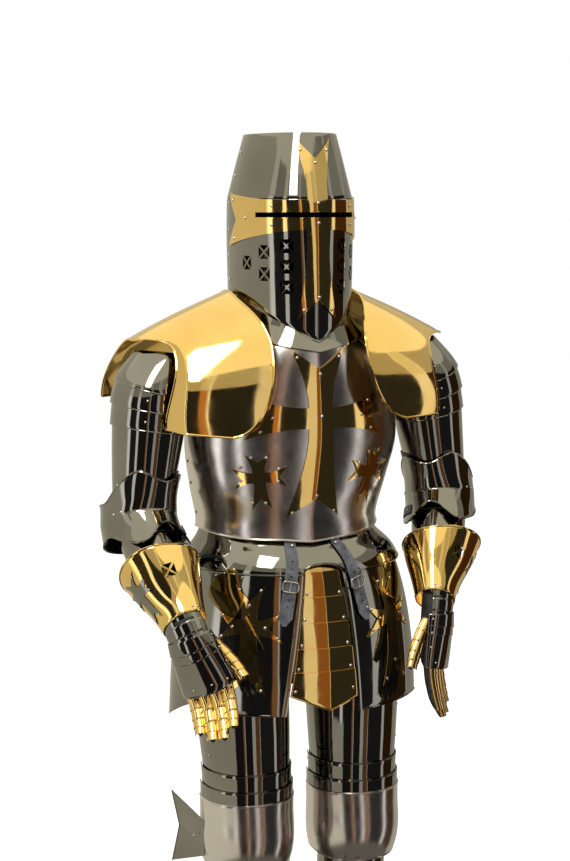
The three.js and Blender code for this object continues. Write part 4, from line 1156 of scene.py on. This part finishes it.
# place along the foot, half-width and height
SHOE = (
    (18, 26, 48), (0, 37, 60), (-48, 43, 104), (-102, 49, 82), (-172, 50, 58), (-232, 36, 42), (-280, 8, 24)
)
KNEE_Z = 515
shin_top = curve(478, (-66, 70, 140), bells=[(56, 90, 22)])
shin_bottom = curve(104, (-40, 20, 75))
cap_top, cap_bottom = curve(594, (-2, 0, 70)), curve(458, (10, 40, 104))


def fan(u, v):
    """The knee's side fan: it stands out from the dome and ends in two points."""
    spread = mix(-1, 1, v)
    y = mix(-76, 12 * (1 + 0.25 * np.abs(spread)), u)
    x = SHOE_X + 2 + mix(89, 112 + 14 * np.abs(spread), u)
    return np.stack([x, y, KNEE_Z + mix(34, 70, u) * spread], -1)


def shoe_surface(side):
    stations = [np.array(column, float) for column in zip(*SHOE)]
    order = stations[0][::-1]

    def surface(u, v):
        y = mix(stations[0][-1], stations[0][0], v)
        wide, high = (np.interp(y, order, column[::-1]) for column in stations[1:])
        angle = mix(0, 2 * np.pi, u)
        arch = np.maximum(np.sin(angle), 0)
        x = SHOE_X * side - wide * np.cos(angle)
        sole = 1 - np.sqrt(np.abs(np.sin(angle)))
        z = high * np.where(np.sin(angle) > 0, 0.35 + 0.65 * arch, 0.35 * sole)
        return np.stack([x, y, z], -1)

    return surface


# %% Bend the leg plates
ANKLE = 33  # radius of the opening in the shoe
for name, side in SIDES:
    handed = HANDED[name]
    thigh_plate = handed(wrapped(THIGH, top=885, bottom=curve(640, (24, 95, 150))))
    plate("cuisse_" + name, thigh_plate, 80, 32, closed=True, rims=[("bottom", 1.4)])
    band = handed(wrapped(THIGH, -112, 112, top=650, bottom=562))
    plate("knee_lame_" + name, band, 64, 12, lift=LAYER + SLACK, rims=[("top", 1.2)])
    low_band = handed(wrapped(THIGH, -108, 108, top=618, bottom=curve(586, (-14, 0, 60))))
    lame = shaped(low_band, 64, 8, 2 * (LAYER + SLACK), rims=[("top", 1.2)], fine=64)
    finished(lame, "second_knee_lame_" + name, "blued_steel", "torso")
    cap = handed(wrapped(KNEECAP, -104, 104, top=cap_top, bottom=cap_bottom))
    plate("poleyn_" + name, cap, 72, 32, "satin_steel", rims=[("top", 1.8), ("bottom", 1.8)], fine=72)
    outer_edge = "end" if side > 0 else "start"
    wing = shaped(handed(fan), 24, 32, rims=[(outer_edge, 1.6)], fine=48)
    finished(wing, "knee_fan_" + name, "blued_steel", "torso")
    shin = handed(wrapped(SHIN, top=shin_top, bottom=shin_bottom))
    plate("greave_" + name, shin, 120, 64, closed=True, rims=[("bottom", 1.4)])

    last = bent_grid(shoe_surface(side), 48, 72, seam=True)
    tidy_edit(last, FILL, FACE_OUT)
    shoe = thickened(last, PLATE, edge=0)
    deselect()
    place = in_metres((side * SHOE_X, -46, 140))
    bpy.ops.mesh.primitive_cylinder_add(vertices=48, radius=ANKLE * MM, depth=120 * MM, location=place)
    ankle = bpy.context.object
    bpy.ops.object.transform_apply(location=True)
    punched(shoe, [ankle])
    stands_for(shoe, "sabaton_" + name)
print("legs done")

# %% [markdown]
# ## Rivets and small fittings
# Rivets hold the crosses, join the plates and carry the straps. Their heads are the size of a
# pea and sit where the armourer could reach the back, so they follow edges and ends. All the
# heads on one body are one piece, set on the same surfaces as the plates below them.
# %% Rivets on the helm
BOTH = (-1, 1)  # the two sides of the body
SMALL_HEAD, TINY_HEAD = 2.3, 2.0  # radii


def heads_on(rows, places, lift=0.0, axes=None, sides=(1,), turn=0, z=0):
    """Places for rivets at (angle, height) pairs, counted from a middle, on one side or both."""
    return [spot_round(rows, turn + side * a, z + b, lift, axes) for a, b in places for side in sides]


HELM_SEAM_RIVETS = [(94, z) for z in (1800, 1758, 1707, 1658, 1611, 1565)]
HELM_CROSS_RIVETS = [(84, 1712), (66, 1679), (81, 1642), (40, 1701), (40, 1667), (15.5, 1801), (13, 1514)]
heads = [helm_spot(side * turn, z) for turn, z in HELM_SEAM_RIVETS for side in BOTH]
heads += [helm_spot(side * turn, z, ON_TOP) for turn, z in HELM_CROSS_RIVETS for side in BOTH]
heads += [helm_spot(0, z, ON_TOP) for z in (1706, 1670, 1778, 1537)]
finished(rivets(heads), "helm_rivets", "satin_steel", "helm")

# %% Rivets on the breast and the skirt
CHEST_CROSS_RIVETS = [(14, 1428), (12.5, 1143), (25, 1319), (31, 1293), (31, 1344)]
STAR_RIVETS = [(-4.5, 37), (3.5, 38), (10, 17), (10, -6), (-4, -47), (3.5, -47), (-10.5, 18), (-10.5, -6)]
TASSET_RIVETS = [(5.5, 68), (13.5, 19), (13.5, -19), (8, 0), (6.5, -116)]
heads = heads_on(TORSO, CHEST_CROSS_RIVETS, ON_TOP, sides=BOTH)
heads += heads_on(TORSO, [(0, 1398), (0, 1321), (0, 1175)], ON_TOP)
for _, _, turn, z, _ in CHEST_CROSSES[1:]:
    heads += heads_on(TORSO, STAR_RIVETS, ON_TOP, turn=turn, z=z)
heads += heads_on(TORSO, [(86, z) for z in (1290, 1228, 1187, 1130)], sides=BOTH)
for side in BOTH:
    middle = {"turn": side * TASSET_TURN, "z": TASSET_CROSS_Z}
    heads += heads_on(SKIRT, TASSET_RIVETS, ON_TOP, sides=BOTH, **middle)
    heads += heads_on(SKIRT, [(0, 40), (0, -84)], ON_TOP, **middle)
heads += heads_on(SKIRT, [(turn, 1097) for turn in (-78, -58, -38, 3.8, 38, 58, 78)], 2 * LAYER)
heads += heads_on(SKIRT, [(turn, 1026) for turn in (22, 42, 58)], sides=BOTH)
for i, (_, bottom) in enumerate(LAMES):
    width, lean = panel(bottom)
    heads += heads_on(SKIRT, [(width - 2.2, bottom + 12)], lame_layer(i), sides=BOTH, turn=lean)
heads += heads_on(GORGET, [(-150, 1470), (150, 1470), (180, 1470)])
heads += heads_on(SKIRT, [(turn_top, 1076) for turn_top, _ in STRAP_TURNS.values()], ON_SKIRT + 1)
heads += heads_on(SKIRT, [(20.5, 962)], ON_SKIRT)
finished(rivets(heads), "torso_rivets", "satin_steel", "torso")

# %% Rivets down the arms and legs
for name, side in SIDES:
    axes, handed = ARM_AXES[name], HANDED[name]
    inner_front = 0.39 if side > 0 else 0.61
    heads = []
    for top, bottom, layer, _ in SHOULDER_LAMES.values():
        surface = placed(handed(wrapped(UPPER_ARM, top=top, bottom=bottom)), axes["upper"])
        for around_arm in (inner_front, 1 - inner_front, 0.02):
            heads.append(spot(surface, around_arm, 0.22, layer * (LAYER + SLACK)))
    heads += heads_on(COUTER, [(66, 4), (80, 4), (150, 4)], 0, axes["elbow"], BOTH)
    heads += heads_on(UPPER_ARM, [(90, 62)], 0, axes["upper"], BOTH)
    finished(rivets(heads, SMALL_HEAD), f"arm_rivets_{name}", "satin_steel", "torso")

    cuff_turns = (-side * 62, -side * 80, side * 70, 180)
    heads = heads_on(CUFF, [(turn, 22) for turn in cuff_turns], 0, axes["cuff"])
    heads += heads_on(HAND_PLATE, [(-side * 78, z) for z in (-20, -45, -72)], 3.2, axes["hand"])
    heads += heads_on(HAND_PLATE, [(20, -101), (58, -101)], 0.8, axes["hand"], BOTH)
    finished(rivets(heads, TINY_HEAD), f"hand_rivets_{name}", "satin_steel", "forearm_" + name)

    heads = [((side * (SHOE_X + 104), y, KNEE_Z), (side, -0.25, 0)) for y in (-52, -20)]
    knee_places = [(turn, z, 5) for turn in (100, -100) for z in (640, 604)]
    for turn, z, lift in knee_places + [(70, z, 0) for z in (860, 800, 740, 680)]:
        thigh = handed(lambda u, v, turn=turn, z=z: around(THIGH, turn + u, z + v))
        heads.append(spot(thigh, 0.5, 0.5, lift))
    finished(rivets(heads, SMALL_HEAD), f"leg_rivets_{name}", "satin_steel", "torso")

# %% Dark crosses on the cuffs
cuff_cross = forked_cross(10, 9, up=(34, 20, 16), left=(36, 16, 13), down=(58, 17, 18), right=(36, 16, 13))
CUFF_RADIUS, CUFF_CROSS_TURN, CUFF_CROSS_Z, ON_CUFF = 60, 32, 88, 1.6
CUFF_RIVETS = [(math.degrees(x / CUFF_RADIUS), y) for x, y in ((14, 27), (27, 9), (27, -9), (11, -50))]
for name, side in SIDES:
    axes, turn = ARM_AXES[name]["cuff"], side * CUFF_CROSS_TURN
    cross = laid(cuff_cross, lambda z: CUFF, turn, CUFF_CROSS_Z, CUFF_RADIUS, ON_CUFF, axes=axes, thick=1.2)
    finished(cross, "cuff_cross_" + name, "blued_steel", "forearm_" + name)
    heads = heads_on(CUFF, CUFF_RIVETS, ON_CUFF, axes, BOTH, turn, CUFF_CROSS_Z)
    finished(rivets(heads, TINY_HEAD), "cuff_cross_rivets_" + name, "satin_steel", "forearm_" + name)

# %% Leather straps inside the arms
STRAP_LIFT = 2.8  # a strap's outer face above the plate
for name, side in SIDES:
    axes = ARM_AXES[name]
    straps, heads = [], []
    for rows, key, z in ((UPPER_ARM, "upper", 88), (COUTER, "elbow", -36)):
        start, end = sorted((-side * 38, -side * 150))
        band = placed(wrapped(rows, start, end, top=z + 9, bottom=z - 9), axes[key])
        straps.append(thickened(bent_grid(band, 32, 3, STRAP_LIFT), 2.2, edge=0.4))
        heads.append(spot_round(rows, -side * 46, z, STRAP_LIFT, axes[key]))
    finished(joined(straps), "arm_straps_" + name, "strap_leather", "torso")
    finished(rivets(heads, SMALL_HEAD), "strap_rivets_" + name, "satin_steel", "torso")
print("small fittings:", sum(1 for piece in made if "rivets" in piece.name), "sets of rivets")

# %% [markdown]
# ## Studio
# A pale floor, pale air all round and soft lights. Polished metal needs something dark to
# reflect or it looks like plaster, so tall grey cards stand round the suit, out of the camera's
# sight, with bright gaps between them.
# %% Floor, cards and lights
FLOOR_SIZE = 14.0
CARD_RING = 2.6
CARD_TOP, CARD_BOTTOM = 3.0, -1.6
CARD_BANDS = ((CARD_BOTTOM, 0.1), (0.1, 2.2), (2.2, CARD_TOP))
OLIVE, GREY, WHITE, BROWN = (1.0, 0.95, 0.76), (1.0, 1.0, 1.0), (1.0, 0.98, 0.95), (1.0, 0.45, 0.16)
CARDS = (  # middle of the card in degrees from the front, its spread, its glow and its tint
    (-143, 116, 0.62, OLIVE),
    (-79, 7, 1.6, WHITE),
    (-66, 18, 0.03, GREY),
    (-54, 6, 1.3, WHITE),
    (-38, 24, 0.02, GREY),
    (-24, 4, 0.45, BROWN),
    (-12, 18, 0.02, GREY),
    (1, 7, 0.7, WHITE),
    (11, 12, 0.22, BROWN),
    (39, 42, 0.025, GREY),
    (64, 7, 0.9, WHITE),
    (86, 36, 0.05, BROWN),
    (134, 58, 0.42, OLIVE),
)


def stage_material(name, colour, glow=0.0, paint=1.0):
    material = bpy.data.materials.new(name)
    material.use_nodes = True
    shader = material.node_tree.nodes["Principled BSDF"]
    shader.inputs["Base Color"].default_value = (*(paint * c for c in colour), 1)
    shader.inputs["Roughness"].default_value = 1.0
    shader.inputs["Specular IOR Level"].default_value = 0.0
    shader.inputs["Emission Color"].default_value = (*colour, 1)
    shader.inputs["Emission Strength"].default_value = glow
    return material


def banded(low, high):
    """The cards of one band: above the suit they are paler, and below it the left ones are plain."""
    if low == CARD_BOTTOM:
        return ((-124, 154, 0.6, OLIVE), *(card for card in CARDS if card[0] > -47))
    if high == CARD_TOP:
        return tuple((turn, spread, mix(glow, 0.7, 0.6), OLIVE) for turn, spread, glow, _ in CARDS)
    return CARDS


deselect()
bpy.ops.mesh.primitive_plane_add(size=FLOOR_SIZE)
floor = bpy.context.object
floor.name = "floor"
floor.data.materials.append(stage_material("pale floor", (0.9, 0.9, 0.9), 0.35))
floor.visible_glossy = False


def unseen(card, name, tint, glow):
    """A card that shows only in reflections."""
    card.name = name
    card.data.materials.append(stage_material(name, tint, glow, 0.0))
    card.visible_camera = card.visible_shadow = card.visible_diffuse = False


cards = [(*card, *band) for band in CARD_BANDS for card in banded(*band)]
for i, (turn, spread, glow, tint, low, high) in enumerate(cards):
    deselect()
    bpy.ops.mesh.primitive_grid_add(x_subdivisions=12, y_subdivisions=1, size=1)
    card = bpy.context.object
    flat = coordinates(card)
    angle = np.radians(turn + flat[:, 0] * spread)
    height = mix(low, high, flat[:, 1] + 0.5)
    set_coordinates(card, np.stack([CARD_RING * np.sin(angle), -CARD_RING * np.cos(angle), height], -1))
    unseen(card, f"card_{i}", tint, glow)

for name, height, glow in (("ceiling_card", CARD_TOP, 1.05), ("low_card", CARD_BOTTOM, 0.12)):
    deselect()
    place = (0, 0, height)
    bpy.ops.mesh.primitive_circle_add(vertices=48, radius=CARD_RING, fill_type="NGON", location=place)
    unseen(bpy.context.object, name, OLIVE, glow)


def soft_light(name, place, aim, size, power, colour=(1, 1, 1)):
    light = bpy.data.lights.new(name, "AREA")
    light.shape, light.size, light.size_y = "RECTANGLE", size[0], size[1]
    light.energy, light.color = power, colour
    lamp = bpy.data.objects.new(name, light)
    lamp.visible_glossy = name == "top"
    bpy.context.collection.objects.link(lamp)
    lamp.location = place
    lamp.rotation_euler = (Vector(aim) - Vector(place)).to_track_quat("-Z", "Y").to_euler()
    return lamp


CHEST = (0, 0, 1.3)
soft_light("key", (-2.3, -1.3, 2.5), CHEST, (0.5, 1.6), 14, (1.0, 0.97, 0.92))
soft_light("fill", (1.5, -1.9, 1.7), CHEST, (0.25, 2.0), 8)
soft_light("top", (-0.7, -0.9, 2.85), CHEST, (0.5, 1.7), 26)

world = bpy.data.worlds.new("pale air")
bpy.context.scene.world = world
world.use_nodes = True
background = world.node_tree.nodes["Background"].inputs
background["Color"].default_value = (1, 1, 1, 1)
background["Strength"].default_value = 1.0
bpy.context.scene.view_settings.view_transform = "Standard"

# %% [markdown]
# ## Camera
# The picture is taken from a little to the suit's right, at the height of the helm's slit and
# looking slightly down, with a short telephoto lens.
# %% Set the camera
CAMERA_PLACE = in_metres((-1134.9, -3098.7, 1700))
CAMERA_TURN, CAMERA_DOWN = -20.0, 7.34  # degrees
LENS, SENSOR = 72.7, 36.0
camera_data = bpy.data.cameras.new("camera")
camera_data.lens, camera_data.sensor_width = LENS, SENSOR
camera = bpy.data.objects.new("camera", camera_data)
bpy.context.collection.objects.link(camera)
camera.location = CAMERA_PLACE
camera.rotation_euler = (math.radians(90 - CAMERA_DOWN), 0, math.radians(CAMERA_TURN))
bpy.context.scene.camera = camera

# %% [markdown]
# ## Finish
# The number of pieces in the dressed model and their points are printed.
# %% Count the pieces and finish
print("pieces:", len(made), "points:", sum(len(piece.data.vertices) for piece in made))
